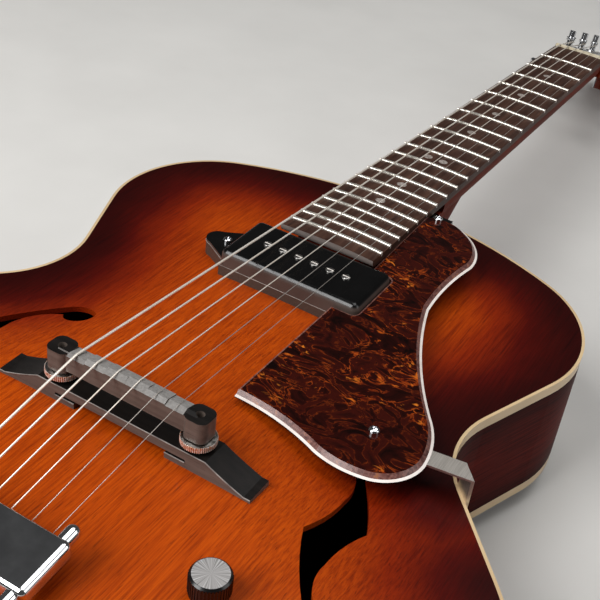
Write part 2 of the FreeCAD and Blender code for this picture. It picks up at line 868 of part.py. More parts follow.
def neck():
    root = shaft_section(size.nut_thickness, size.nut_width / 2, size.neck_depth_at_nut)
    foot = shaft_section(-joint_distance, board_half_width(-joint_distance), size.neck_depth_at_joint)
    shaft = Part.makeLoft([root, foot], True, True)
    slab = head_slab(-size.veneer_thickness, size.head_thickness - size.veneer_thickness)
    foot_heel = placed(heel(), neck_in_body.inverse())
    wood = shaft.fuse([foot_heel, volute(), slab]).cut([body_prism, nut_zone()])
    wood = wood.fuse(tongue())
    bushing_holes = head_drills(size.bushing_radius + size.drill_clearance)
    return wood.cut([rod_channel()] + bushing_holes + tuner_screw_holes())


def marker_places():
    """Half way between frets, one dot or a pair."""
    for fret in MARKED_FRETS:
        y = -(fret_distance(fret) + fret_distance(fret - 1)) / 2
        half = size.marker_pair_spread / 2 if fret == DOUBLE_MARKED_FRET else 0
        for x in sorted({-half, half}):
            yield at(x, y, 0)


def markers(radius, depth):
    """Round inlays, flush with the arched board."""
    discs = []
    for place in marker_places():
        drop = size.board_radius - math.sqrt(size.board_radius ** 2 - place.x ** 2)
        disc = rod(place - at(0, 0, drop + depth), place + at(0, 0, size.overrun), radius)
        discs.append(disc.common(crown(size.board_radius)))
    return discs


def fingerboard():
    front = board_half_width(0)
    back = board_half_width(-board_length)
    low = -size.board_thickness
    far = [at(back, -board_length, low), at(-back, -board_length, low)]
    corners = [at(-front, 0, low), at(front, 0, low)] + far
    edges = [line(start, end) for start, end in zip(corners, corners[1:] + corners[:1])]
    board = raised(edges, size.board_thickness).common(crown(size.board_radius))
    board = board.cut(markers(size.marker_radius + size.fit_clearance, size.marker_depth))
    ends = [edge for edge in board.Edges if edge.BoundBox.YMax < -board_length + size.fit_clearance]
    level = [edge for edge in ends if edge.BoundBox.XLength > back]
    return board.makeFillet(size.board_end_rounding, level)


def fret(count):
    """A fret wire bent to the board's arch and trimmed to its width, with a rounded crown."""
    half = board_half_width(-fret_distance(count))
    front = -fret_distance(count) - size.fret_width / 2
    ends = []
    arcs = []
    for radius in (size.board_radius, size.board_radius + size.fret_height):
        z = math.sqrt(radius ** 2 - half ** 2) - size.board_radius
        ends.append((at(-half, front, z), at(half, front, z)))
        arcs.append(arc(ends[-1][0], at(0, front, radius - size.board_radius), ends[-1][1]))
    sides = [line(low, high) for low, high in zip(*ends)]
    face = Part.Face(Part.Wire([arcs[0], sides[1], arcs[1], sides[0]]))
    strip = face.extrude(at(0, size.fret_width, 0))
    long_edges = [edge for edge in strip.Edges if edge.BoundBox.XLength > half]
    crests = [edge for edge in long_edges if edge.BoundBox.ZMax > size.fret_height / 2]
    crown_share = 0.667
    return strip.makeFillet(size.fret_height * crown_share, crests)


solid("neck", neck(), NECK)
solid("fingerboard", fingerboard(), NECK)
solid("frets", Part.makeCompound([fret(count) for count in range(1, FRETS + 1)]), NECK)
solid("fret_markers", Part.makeCompound(markers(size.marker_radius, size.marker_depth)), NECK)
solid("headstock_veneer", head_slab(0, size.veneer_thickness).cut(
    [nut_zone()] + head_drills(size.bushing_radius + size.drill_clearance)), NECK)

truss_rod = doc.addObject("Part::Box", "truss_rod")
bind(truss_rod, "Length", "truss_rod_width")
bind(truss_rod, "Width", "truss_rod_length")
bind(truss_rod, "Height", "truss_rod_depth")
rod_low = -size.board_thickness - size.truss_rod_depth
rod_corner = at(-size.truss_rod_width / 2, -size.truss_rod_length, rod_low)
finish(truss_rod, "truss_rod", NECK * Placement(rod_corner, Rotation()))


def truss_rod_cover():
    """A thin bell-shaped plate on the headstock's face, behind the nut."""
    half = size.rod_cover_width / 2
    tip_half_share = 0.35
    waist_half_share = 0.45
    waist_share = 0.55
    start = at(half, size.rod_cover_gap, 0)
    waist = at(half * waist_half_share, size.rod_cover_gap + size.rod_cover_length * waist_share, 0)
    tip = at(half * tip_half_share, size.rod_cover_gap + size.rod_cover_length - half * tip_half_share, 0)
    crest = at(0, size.rod_cover_gap + size.rod_cover_length, 0)
    flip = lambda point: at(-point.x, point.y, point.z)
    edges = [arc(start, waist, tip), arc(tip, crest, flip(tip)), arc(flip(tip), flip(waist), flip(start))]
    return raised(edges + [line(flip(start), start)], size.rod_cover_thickness)


solid("truss_rod_cover", truss_rod_cover(), HEAD)


# Strings, from the tailpiece over the saddle and the nut to the posts
string_names = list(STRING_SIZES)
string_diameters = [getattr(size, name) for name in string_names]
string_post_order = (0, 1, 2, 5, 4, 3)
posts = list(post_places())


def across(spread, index):
    """Place of a string across an even spread, lowest string on the bass side."""
    return spread * (index / (len(string_names) - 1) - 1 / 2)


def over_board(spread, index, y, height):
    """A string's point at a height over the arched board, in the body frame."""
    x = across(spread, index)
    return neck_in_body.multVec(at(x, y, height - x ** 2 / (2 * size.board_radius)))


def nut_point(index):
    return over_board(size.string_spread_at_nut, index, 0, size.string_height_at_nut)


def saddle_point(index):
    """The string's bend on the saddle, a little behind the scale length."""
    compensation_shares = (1.0, 0.66, 0.32, 0.0, 0.72, 0.3)
    y = -size.scale_length - size.saddle_compensation * compensation_shares[index]
    return over_board(size.string_spread_at_saddle, index, y, size.string_height_at_saddle)


def tail_point(index):
    """Inside the crossbar, behind its front face."""
    x = across(size.string_spread_at_tail, index)
    return tail_in_body.multVec(at(x, tail_reach - size.string_tail_depth, 0))


def winding_radius(index):
    """From the post's axis to the middle of the string wound on it."""
    return size.post_radius + string_diameters[index] / 2 + size.fit_clearance


def post_tangent(index):
    """Where the string touches its winding and the way it runs there, in the headstock frame."""
    side, post = posts[string_post_order[index]]
    start = head_in_body.inverse().multVec(nut_point(index))
    run = post - start
    reach = math.hypot(run.x, run.y)
    radius = winding_radius(index)
    angle = math.atan2(run.y, run.x) + side * math.asin(radius / reach)
    way = at(math.cos(angle), math.sin(angle), 0)
    touch = start + way * math.sqrt(reach ** 2 - radius ** 2)
    return at(touch.x, touch.y, size.string_height_on_post), way


def rounded_path(points, radius):
    """Straight runs joined by arcs that touch them."""
    edges = []
    start = points[0]
    for corner, after in zip(points[1:-1], points[2:]):
        inward = (corner - start).normalize()
        onward = (after - corner).normalize()
        turn = inward.getAngle(onward)
        trim = radius * math.tan(turn / 2)
        bisector = (onward - inward).normalize()
        middle = corner + bisector * (radius / math.cos(turn / 2) - radius)
        edges.append(line(start, corner - inward * trim))
        edges.append(arc(corner - inward * trim, middle, corner + onward * trim))
        start = corner + onward * trim
    return edges + [line(start, points[-1])]


def tube(edges, radius):
    """A round tube along a path that begins with a straight run."""
    path = Part.Wire(edges)
    start = edges[0].Vertexes[0].Point
    way = edges[0].Vertexes[1].Point - start
    ring = Part.Wire(Part.makeCircle(radius, start, way))
    return path.makePipeShell([ring], True, False)


def string_path(index):
    touch, way = post_tangent(index)
    end = head_in_body.multVec(touch - way * string_diameters[index])
    points = [tail_point(index), saddle_point(index), nut_point(index), end]
    return rounded_path(points, size.string_bend_radius)


def string(index, allowance=0.0):
    return tube(string_path(index), string_diameters[index] / 2 + allowance)


all_strings = range(len(string_names))
solid("wound_strings", Part.makeCompound([string(index) for index in all_strings[:WOUND_STRINGS]]), BODY)
solid("plain_strings", Part.makeCompound([string(index) for index in all_strings[WOUND_STRINGS:]]), BODY)


def nut():
    """A bone bar between the board and the headstock, grooved for the strings."""
    half = size.nut_width / 2
    crest = crown(size.board_radius + size.string_height_at_nut)
    low = at(-half, 0, -size.board_thickness)
    bar = block(low, at(half, size.nut_thickness, size.overrun)).common(crest)
    in_neck = neck_in_body.inverse()
    slope = block(at(-half, 0, 0), at(half, size.nut_thickness * 2, size.overrun))
    land = at(0, size.nut_land, size.string_height_at_nut)
    slope = placed(slope, Placement(land, Rotation(along_x, -size.head_tilt)))
    bar = bar.cut(slope)
    return bar.cut([placed(string(index, size.fit_clearance), in_neck) for index in all_strings])


solid("nut", nut(), NECK)


# Tuners, in the headstock frame
def biarc(start, start_way, end, end_way):
    """Two arcs that join two points and touch a direction at each."""
    run = end - start
    ways = start_way + end_way
    spread = 2 * (1 - start_way.dot(end_way))
    reach = (math.sqrt(run.dot(ways) ** 2 + spread * run.dot(run)) - run.dot(ways)) / spread
    corners = (start + start_way * reach, end - end_way * reach)
    middle = (corners[0] + corners[1]) / 2
    edges = []
    for first, corner, last in ((start, corners[0], middle), (middle, corners[1], end)):
        weight = (last - first).Length / (2 * reach)
        crest = (first + corner * (2 * weight) + last) / (2 + 2 * weight)
        edges.append(arc(first, crest, last))
    return edges


WINDING_TURNS = 2
QUARTERS = 4 * WINDING_TURNS
WINDING_SIDES = 6


def winding_points(index):
    """Points and directions of the winding at each quarter turn, from where the string touches."""
    side, post = posts[string_post_order[index]]
    touch, _ = post_tangent(index)
    radius = winding_radius(index)
    rise = (string_diameters[index] + size.winding_gap) / 4
    first = math.atan2(touch.y - post.y, touch.x - post.x)
    for quarter in range(QUARTERS + 1):
        angle = first - side * quarter * math.pi / 2
        out = at(math.cos(angle), math.sin(angle), 0)
        way = at(0, 0, -side).cross(out) * (radius * math.pi / 2) + at(0, 0, rise)
        lift = at(0, 0, size.string_height_on_post + rise * quarter)
        yield at(post.x, post.y, 0) + out * radius + lift, way.normalize()


def winding(index):
    """Two turns of string on its post, with a straight stretch at each end."""
    diameter = string_diameters[index]
    points = list(winding_points(index))
    start, start_way = points[0]
    end, end_way = points[-1]
    edges = [line(start - start_way * diameter, start)]
    for before, after in zip(points, points[1:]):
        edges += biarc(*before, *after)
    edges.append(line(end, end + end_way * diameter))
    path = Part.Wire(edges)
    print(string_names[index], "winding gap", round(least_gap(path, diameter), 2))
    begin = start - start_way * diameter
    ring = Part.makeCircle(diameter / 2, begin, start_way).discretize(WINDING_SIDES + 1)
    return path.makePipeShell([Part.makePolygon(ring)], True, False)


def least_gap(path, diameter):
    """The nearest that a winding comes to itself, half a turn or more along its path."""
    count = 12 * QUARTERS
    spots = path.discretize(count)
    apart = count // QUARTERS * 2
    pairs = ((spots[low], spots[high]) for low in range(count) for high in range(low + apart, count))
    return min(low.distanceToPoint(high) for low, high in pairs) - diameter


gear_plane = -size.head_thickness - size.housing_height / 2
worm_offset = size.gear_radius + size.worm_radius + size.moving_clearance
gear_pocket = size.gear_radius + size.moving_clearance
worm_pocket = size.worm_radius + size.moving_clearance


def tuner_post(index):
    """The post with its worm wheel and the string wound on it."""
    _, post = posts[string_post_order[index]]
    half = at(0, 0, size.gear_width / 2)
    middle = post + at(0, 0, gear_plane)
    shaft = rod(middle - half, post + at(0, 0, size.post_height), size.post_radius)
    wheel = rod(middle - half, middle + half, size.gear_radius)
    return Part.makeCompound([shaft.fuse(wheel).removeSplitter(), winding(index)])


def tuner_key(side, post):
    """The worm, its shaft and the oval button outside the headstock."""
    axis = post + at(0, -worm_offset, gear_plane)
    worm_half = at(size.worm_length / 2, 0, 0)
    button_x = head_half_width(axis.y) + size.button_gap + size.button_length / 2
    centre = at(side * button_x, axis.y, axis.z)
    worm = rod(axis - worm_half, axis + worm_half, size.worm_radius)
    shaft = rod(axis, centre, size.key_shaft_radius)
    low = centre - at(0, 0, size.button_thickness / 2)
    tips = (low + at(0, size.button_width / 2, 0), low + at(size.button_length / 2, 0, 0))
    oval = Part.Wire(Part.Ellipse(*tips, low).toShape())
    button = Part.Face(oval).extrude(at(0, 0, size.button_thickness))
    rims = [edge for edge in button.Edges if edge.BoundBox.ZLength < size.fit_clearance]
    return worm.fuse([shaft, button.makeFillet(size.button_rounding, rims)]).removeSplitter()


def tuner_housing(side, post):
    """A cup against the back of the headstock, hollow for wheel and worm, with a screw ear."""
    back = -size.head_thickness
    half = gear_pocket + size.housing_wall
    low = post + at(-half, -worm_offset - worm_pocket - size.housing_wall, back - size.housing_height)
    cup = block(low, post + at(half, half, back))
    upright = [edge for edge in cup.Edges if edge.BoundBox.ZLength > size.housing_height / 2]
    cup = cup.makeFillet(size.housing_wall, upright)
    ear_low = post + at(-half / 2, half - size.housing_wall, back - size.housing_wall)
    cup = cup.fuse(block(ear_low, post + at(half / 2, half + size.housing_ear_length, back)))
    floor = at(0, 0, gear_plane - worm_pocket)
    axis = post + at(0, -worm_offset, gear_plane)
    pocket_half = size.worm_length / 2 + size.moving_clearance
    worm_low = axis - at(pocket_half, worm_pocket, worm_pocket)
    worm_room = block(worm_low, axis + at(pocket_half, worm_offset, worm_pocket))
    gear_room = rod(post + floor, post + at(0, 0, back + size.overrun), gear_pocket)
    shaft_radius = size.key_shaft_radius + size.running_clearance
    shaft_room = rod(axis, axis + at(side * size.head_flare_width, 0, 0), shaft_radius)
    screw = tuner_screw_place(post)
    run = at(0, 0, size.tuner_screw_length)
    screw_room = rod(screw - run, screw + run, size.tuner_screw_radius + size.fit_clearance)
    return cup.cut([worm_room, gear_room, shaft_room, screw_room])


def tuner_bushing(post):
    """A flanged sleeve that guides the post through the headstock."""
    face = post + at(0, 0, size.bushing_flange_height)
    back = post - at(0, 0, size.head_thickness)
    sleeve = rod(back, post, size.bushing_radius).fuse(rod(post, face, size.bushing_flange_radius))
    reach = at(0, 0, size.overrun)
    return sleeve.cut(rod(back - reach, face + reach, size.post_radius + size.running_clearance))


def tuner_screw(post):
    seat = tuner_screw_place(post) - at(0, 0, size.housing_wall)
    head = rod(seat - at(0, 0, size.screw_head_height), seat, size.screw_head_radius)
    shank = rod(seat, seat + at(0, 0, size.tuner_screw_length), size.tuner_screw_radius)
    return head.fuse(shank)


for index in all_strings:
    place = string_post_order[index]
    number = place + 1
    solid(f"tuner_post_{number}", tuner_post(index), HEAD)
    solid(f"tuner_key_{number}", tuner_key(*posts[place]), HEAD)
solid("tuner_housings", Part.makeCompound([tuner_housing(*post) for post in posts]), HEAD)
solid("tuner_bushings", Part.makeCompound([tuner_bushing(post) for _, post in posts]), HEAD)
solid("tuner_screws", Part.makeCompound([tuner_screw(post) for _, post in posts]), HEAD)


# Pickguard, held level over the top
def board_edge(y):
    """The guard's edge beside the fingerboard, at a place along the body."""
    along = (y - nut_y) / math.cos(neck_slope)
    return at(board_half_width(along) + size.moving_clearance, y, size.guard_height)


def guard_outline():
    outer_shares = (
        (0.183, -0.1107), (0.2455, -0.1339), (0.3013, -0.192), (0.3223, -0.2768), (0.3094, -0.3929),
        (0.3147, -0.5134), (0.3795, -0.6853), (0.4857, -0.8616), (0.5268, -0.9375), (0.5384, -1.0),
        (0.5201, -1.0603), (0.4643, -1.1027), (0.4063, -1.1103), (0.3393, -1.0996), (0.2321, -1.0661),
        (0.1232, -1.0558),
    )
    start_share = -0.125
    inner_share = 0.1295
    z = size.guard_height
    curve = [board_edge(start_share * size.guard_length)]
    curve += [guard_point(shares, z) for shares in outer_shares]
    half = size.pickup_depth / 2 + size.guard_notch_clearance
    far = -size.pickup_from_joint - half
    near = -size.pickup_from_joint + half
    notch_x = size.pickup_width / 2 + size.guard_notch_clearance
    corners = [curve[-1], at(inner_share * size.guard_length, far, z), at(notch_x, far, z)]
    corners += [at(notch_x, near, z), board_edge(near), curve[0]]
    return arc_chain(curve) + [line(start, end) for start, end in zip(corners, corners[1:])]


def pickguard():
    plate = raised(guard_outline(), size.guard_thickness)
    return plate.cut([screw_hole(seat, down, guard_screw_length) for seat in guard_screw_places()])


def pickguard_bracket():
    """A strip under the guard, bent down against the side."""
    top = size.guard_height
    half = size.guard_bracket_width / 2
    start = guard_point(lower_screw_shares, 0)
    run = foot - start
    beyond = size.guard_bracket_width
    far = at(run.Length + beyond, half, top)
    strip = block(at(-half, -half, top - size.guard_bracket_thickness), far)
    tall = block(at(run.Length - beyond, -half, -size.guard_bracket_drop), far)
    turn = Rotation(at(1, 0, 0), run)
    zone = outline_prism(-size.guard_bracket_thickness, 0, top)
    strip = placed(strip, Placement(start, turn)).common(zone)
    wall = outline_ring(-size.guard_bracket_thickness, 0, -size.guard_bracket_drop, top)
    leg = wall.common(placed(tall, Placement(start, turn)))
    holes = [screw_hole(guard_screw_places()[1], down, guard_screw_length)]
    holes.append(screw_hole(bracket_screw_seat, -foot_way, bracket_screw_length))
    return strip.fuse(leg).removeSplitter().cut(holes)


def pickguard_block():
    """A small step on the side of the neck's tongue that takes the guard's upper screw."""
    place = guard_screw_places()[0]
    half = size.guard_block_length / 2
    inner = size.tongue_width / 2
    edge = board_edge(place.y - half).x
    outer = place.x + size.guard_block_width / 2
    board_low = size.board_height - size.board_thickness - (place.y + half) * math.tan(neck_slope)
    low = board_low - size.tongue_thickness
    step = board_low - size.moving_clearance
    base = block(at(inner, place.y - half, low), at(outer, place.y + half, step))
    post = block(at(edge, place.y - half, low), at(outer, place.y + half, size.guard_height))
    return base.fuse(post).removeSplitter().cut(screw_hole(place, down, guard_screw_length))


def pickguard_screws():
    screws = [screw(seat, down, guard_screw_length) for seat in guard_screw_places()]
    screws.append(screw(bracket_screw_seat, -foot_way, bracket_screw_length))
    return Part.makeCompound(screws)


solid("pickguard", pickguard(), BODY)
solid("pickguard_bracket", pickguard_bracket(), BODY)
solid("pickguard_block", pickguard_block(), BODY)
solid("pickguard_screws", pickguard_screws(), BODY)


# Pickup
pickup_y = -size.pickup_from_joint
pickup_half = at(size.pickup_width / 2, size.pickup_depth / 2, 0)
cover_top = size.pickup_seat_height + size.pickup_cover_height


def pickup_outline(z, height):
    """The cover's footprint with a rounded ear at each end."""
    ear = size.pickup_ear_spread - pickup_half.x
    root_share = 0.8
    tip_share = 0.34
    bulge_share = 0.72
    root = at(pickup_half.x, pickup_half.y * root_share, z)
    tip = at(pickup_half.x + ear * bulge_share, pickup_half.y * tip_share, z)
    nose = at(size.pickup_ear_spread, 0, z)
    low = lambda point: at(point.x, -point.y, point.z)
    edges = [line(low(root), low(tip)), arc(low(tip), nose, tip), line(tip, root), line(root, low(root))]
    plate = raised(edges, height)
    core = block(at(-pickup_half.x, -pickup_half.y, z), at(pickup_half.x, pickup_half.y, z + height))
    return core.fuse([plate, mirrored(plate)]).removeSplitter().translated(at(0, pickup_y, 0))


def pickup_room(low, high, margin):
    """A box inside the cover's walls."""
    inner = size.pickup_cover_wall + margin
    corner = at(pickup_half.x - inner, pickup_half.y - inner, 0)
    return block(at(-corner.x, pickup_y - corner.y, low), at(corner.x, pickup_y + corner.y, high))


def pole_places():
    for index in all_strings:
        yield at(across(size.pole_spread, index), pickup_y, 0)


def ear_screw_seats():
    top = size.pickup_seat_height + size.pickup_ear_thickness
    return [at(side * size.pickup_ear_screw_spread, pickup_y, top) for side in (-1, 1)]


def pole_holes(radius):
    up = at(0, 0, cover_top + size.overrun)
    return [rod(place, place + up, radius + size.fit_clearance) for place in pole_places()]


def pickup_cover():
    """A moulded cover: a rounded hollow box with a thin ear at each end."""
    seat = size.pickup_seat_height
    low = at(-pickup_half.x, pickup_y - pickup_half.y, seat)
    box = block(low, at(pickup_half.x, pickup_y + pickup_half.y, cover_top))
    upper = [edge for edge in box.Edges if edge.BoundBox.ZMax > seat + size.fit_clearance]
    box = box.makeFillet(size.pickup_cover_rounding, upper)
    cover = box.fuse(pickup_outline(seat, size.pickup_ear_thickness)).removeSplitter()
    ceiling = cover_top - size.pickup_cover_wall
    room = pickup_room(seat - size.overrun, ceiling, size.pickup_cover_rounding / 2)
    holes = pole_holes(size.pole_screw_radius)
    holes += [screw_hole(seat_point, down, size.pickup_seat_height) for seat_point in ear_screw_seats()]
    return cover.cut([room] + holes)


def pickup_riser():
    """A block between the arched top and the level cover, open in the middle."""
    riser = pickup_outline(-size.pickup_seat_height, 2 * size.pickup_seat_height).cut(under_top)
    room = pickup_room(-size.rim_depth, size.rim_depth, size.pickup_cover_rounding / 2)
    holes = [screw_hole(seat_point, down, size.pickup_seat_height) for seat_point in ear_screw_seats()]
    return riser.cut([room] + holes)


coil_low = size.pickup_base_height + size.baseplate_thickness + size.magnet_thickness


def pickup_base():
    """The baseplate with two bar magnets beside the row of pole screws."""
    low = size.pickup_base_height
    top = low + size.baseplate_thickness
    plate = pickup_room(low, top, size.pickup_cover_rounding / 2 + size.fit_clearance)
    bar = pickup_room(top, top + size.magnet_thickness, size.pickup_cover_rounding)
    gap = size.pole_screw_radius
    slot_low = at(-size.pickup_width, pickup_y - gap, top)
    slot = block(slot_low, at(size.pickup_width, pickup_y + gap, coil_low))
    bars = bar.cut(slot)
    return plate.fuse(bars).cut(pole_holes(size.pole_shank_radius))


def pickup_coil():
    """A wound bobbin with rounded ends, pierced by the pole screws."""
    half = size.coil_depth / 2
    reach = size.pole_spread / 2
    top = coil_low + size.coil_height
    ends = [rod(at(x, pickup_y, coil_low), at(x, pickup_y, top), half) for x in (-reach, reach)]
    bar = block(at(-reach, pickup_y - half, coil_low), at(reach, pickup_y + half, top))
    return bar.fuse(ends).removeSplitter().cut(pole_holes(size.pole_shank_radius))


def pole_screw(place):
    neck_z = at(0, 0, coil_low + size.coil_height)
    head_top = place + at(0, 0, cover_top + size.pole_screw_stand)
    shank = rod(place + at(0, 0, size.pickup_base_height), place + neck_z, size.pole_shank_radius)
    return shank.fuse(rod(place + neck_z, head_top, size.pole_screw_radius))


ear_screw_share = 0.333
ear_screw_length = size.pickup_ear_thickness + size.pickup_seat_height * ear_screw_share
solid("pickup_cover", pickup_cover(), BODY)
solid("pickup_riser", pickup_riser(), BODY)
solid("pickup_base", pickup_base(), BODY)
solid("pickup_coil", pickup_coil(), BODY)
solid("pickup_pole_screws", Part.makeCompound([pole_screw(place) for place in pole_places()]), BODY)
ear_screws = [screw(seat, down, ear_screw_length) for seat in ear_screw_seats()]
solid("pickup_mounting_screws", Part.makeCompound(ear_screws), BODY)


# Bridge
bridge_y = -size.bridge_from_joint


def bridge_base():
    """Two feet carved to the arch and joined by a thin span, drilled for the studs."""
    shoulder_share = 0.662
    sweep_shares = (0.82, 0.40)
    end_shares = (0.95, 0.0)
    slot_reach = size.bridge_span / 2 + size.bridge_slot_length
    half = size.bridge_length / 2
    top = size.bridge_top_height
    ceiling = top - size.bridge_span_thickness
    tip = size.bridge_tip_height
    floor = -size.top_rise
    y = bridge_y - size.bridge_depth / 2
    point = lambda x, z: at(x, y, z)
    shoulder = point(half * shoulder_share, top)
    sweep = point(half * sweep_shares[0], tip + (top - tip) * sweep_shares[1])
    end = point(half * end_shares[0], tip)
    radius = size.bridge_slot_height / 2
    slot = [point(slot_reach - radius, ceiling - 2 * radius), point(slot_reach, ceiling - radius)]
    slot.append(point(slot_reach - radius, ceiling))
    inner = size.bridge_span / 2
    corners = [end, point(half, tip), point(half, floor), point(inner, floor)]
    corners += [point(inner, ceiling - 2 * radius), slot[0]]
    runs = [line(start, stop) for start, stop in zip(corners, corners[1:])]
    right = [arc(shoulder, sweep, end)] + runs + [arc(*slot), line(slot[2], point(0, ceiling))]
    edges = [line(point(0, top), shoulder)] + right + [line(point(0, ceiling), point(0, top))]
    foot = Part.Face(Part.Wire(edges)).extrude(at(0, size.bridge_depth, 0)).cut(under_top)
    base = foot.fuse(mirrored(foot)).removeSplitter()
    drop = at(0, 0, size.stud_seat)
    top_points = [at(side * size.stud_spread, bridge_y, top) for side in (-1, 1)]
    radius = size.stud_radius + size.fit_clearance
    return base.cut([rod(spot - drop, spot + drop, radius) for spot in top_points])


def bridge_studs():
    low = size.bridge_top_height - size.stud_seat
    studs = []
    for side in (-1, 1):
        foot_point = at(side * size.stud_spread, bridge_y, low)
        studs.append(rod(foot_point, foot_point + at(0, 0, size.stud_length), size.stud_radius))
    return Part.makeCompound(studs)


wheel_low = size.bridge_top_height + size.wheel_lift
wheel_top = wheel_low + size.wheel_rim_height + size.wheel_boss_height
saddle_low = wheel_top + size.running_clearance
stud_bore = "stud_radius + running_clearance"
wheel_corners = (
    (stud_bore, "0"), ("wheel_radius", "0"), ("wheel_radius", "wheel_rim_height"),
    ("wheel_boss_radius", "wheel_rim_height + wheel_boss_height / 2"),
    ("wheel_boss_radius", "wheel_rim_height + wheel_boss_height"),
    (stud_bore, "wheel_rim_height + wheel_boss_height"),
)


def saddle_segment(index):
    """The stretch of the saddle under one string, peaked where the string bends."""
    string_at = saddle_point(index)
    crest = string_at.z - string_diameters[index] / 2 - size.saddle_under_string
    shoulder = crest - size.saddle_slope_drop
    pitch = size.string_spread_at_saddle / (len(string_names) - 1)
    low = string_at.x - pitch / 2
    high = string_at.x + pitch / 2
    if index == 0:
        low = -size.stud_spread
    if index == len(string_names) - 1:
        high = size.stud_spread
    front = bridge_y - size.saddle_wall / 2
    back = bridge_y + size.saddle_wall / 2
    floor = saddle_low + size.saddle_undercut
    outline = [(front, floor), (back, floor), (back, shoulder), (string_at.y, crest), (front, shoulder)]
    points = [at(low, y, z) for y, z in outline]
    edges = [line(start, end) for start, end in zip(points, points[1:] + points[:1])]
    return Part.Face(Part.Wire(edges)).extrude(at(high - low, 0, 0))


def saddle_column(side):
    half = size.saddle_column_width / 2
    low = at(side * size.stud_spread - half, bridge_y - half, saddle_low)
    column = block(low, low + at(2 * half, 2 * half, size.saddle_column_height))
    upright = [edge for edge in column.Edges if edge.BoundBox.ZLength > half]
    rounding_share = 0.667
    return column.makeFillet(half * rounding_share, upright)


def bridge_saddle():
    """A stepped saddle between two columns that slide on the studs."""
    segments = [saddle_segment(index) for index in all_strings]
    columns = [saddle_column(side) for side in (-1, 1)]
    saddle = columns[0].fuse(segments + columns[1:]).removeSplitter()
    up = at(0, 0, size.rim_depth)
    bores = [at(side * size.stud_spread, bridge_y, 0) for side in (-1, 1)]
    return saddle.cut([rod(spot, spot + up, size.stud_radius + size.running_clearance) for spot in bores])


solid("bridge_base", bridge_base(), BODY)
solid("bridge_studs", bridge_studs(), BODY)
solid("bridge_saddle", bridge_saddle(), BODY)
for name, side in (("thumbwheel_bass", -1), ("thumbwheel_treble", 1)):
    wheel_place = at(side * size.stud_spread, bridge_y, wheel_low)
    turned(name, wheel_corners, BODY * Placement(wheel_place, Rotation()))


# Tailpiece, in a frame on the axis of its hinge that rises to the strings
def tail_path():
    """The bent rod: two arms and the cross run that lies in the bracket's knuckle."""
    x = size.tail_rod_spread
    bend = size.tail_rod_bend
    nose = tail_reach + size.tail_rod_nose - size.tail_rod_radius
    points = [at(x, nose, 0), at(x, 0, 0), at(-x, 0, 0), at(-x, nose, 0)]
    return rounded_path(points, bend)


def tailpiece_rod():
    edges = tail_path()
    noses = [edges[0].Vertexes[0].Point, edges[-1].Vertexes[-1].Point]
    balls = [Part.makeSphere(size.tail_rod_radius, nose) for nose in noses]
    return tube(edges, size.tail_rod_radius).fuse(balls).removeSplitter()


def tailpiece_crossbar():
    """A solid bar on the arms, rounded all round and drilled for the strings."""
    half = at(size.crossbar_width / 2, 0, size.crossbar_thickness / 2)
    low = at(-half.x, tail_reach - size.crossbar_depth, -half.z)
    bar = block(low, at(half.x, tail_reach, half.z))
    bar = bar.makeFillet(size.crossbar_rounding, bar.Edges)
    drills = []
    for index in all_strings:
        x = across(size.string_spread_at_tail, index)
        mouth = at(x, tail_reach + size.overrun, 0)
        bottom = at(x, tail_reach - size.crossbar_depth / 2, 0)
        drills.append(rod(mouth, bottom, size.string_hole_radius))
    for side in (-1, 1):
        x = side * size.tail_rod_spread
        arm = rod(at(x, 0, 0), at(x, tail_reach * 2, 0), size.tail_rod_radius + size.fit_clearance)
        drills.append(arm)
    return bar.cut(drills)


def tailpiece_bracket():
    """A plate down the tail, with a knuckle that holds the rod."""
    half = size.tail_plate_width / 2
    wall = outline_ring(-size.tail_plate_thickness, 0, -size.tail_plate_drop, size.tail_hinge_height)
    zone_low = at(-half, -size.body_length - size.overrun, -body_height)
    zone = block(zone_low, at(half, -size.body_length / 2, body_height))
    knuckle_half = at(size.tail_rod_spread - size.tail_rod_bend - size.moving_clearance, 0, 0)
    outer = size.tail_rod_radius + size.fit_clearance + size.tail_knuckle_wall
    knuckle = rod(tail_hinge - knuckle_half, tail_hinge + knuckle_half, outer)
    bore_radius = size.tail_rod_radius + size.fit_clearance
    bore = rod(tail_hinge - knuckle_half * 2, tail_hinge + knuckle_half * 2, bore_radius)
    plate = wall.common(zone).fuse(knuckle).removeSplitter()
    return plate.cut([bore] + tail_screw_holes())


solid("tailpiece_rod", tailpiece_rod(), TAIL)
solid("tailpiece_crossbar", tailpiece_crossbar(), TAIL)
solid("tailpiece_bracket", tailpiece_bracket(), BODY)
tail_screws = [screw(seat, at(0, 1, 0), size.tail_screw_length) for seat in tail_screw_seats()]
solid("tailpiece_screws", Part.makeCompound(tail_screws), BODY)
strap_corners = (
    ("0", "0"), ("strap_button_radius", "0"), ("strap_button_radius", "strap_button_flange"),
    ("strap_button_neck", "strap_button_length / 2"),
    ("strap_button_radius", "strap_button_length - strap_button_flange"),
    ("strap_button_neck", "strap_button_length"), ("0", "strap_button_length"),
)
strap_seat = at(0, -size.body_length - size.tail_plate_thickness, -size.strap_button_drop)
turned("strap_button", strap_corners, BODY * Placement(strap_seat, Rotation(at(0, 0, 1), at(0, -1, 0))))


# Controls
def heights_round(place, radius):
    """Heights of the top's surface at points round a place."""
    turns = [math.tau * step / 8 for step in range(8)]
    ring = [place + at(math.cos(turn) * radius, math.sin(turn) * radius, 0) for turn in turns]
    return [top_height(spot) for spot in ring]


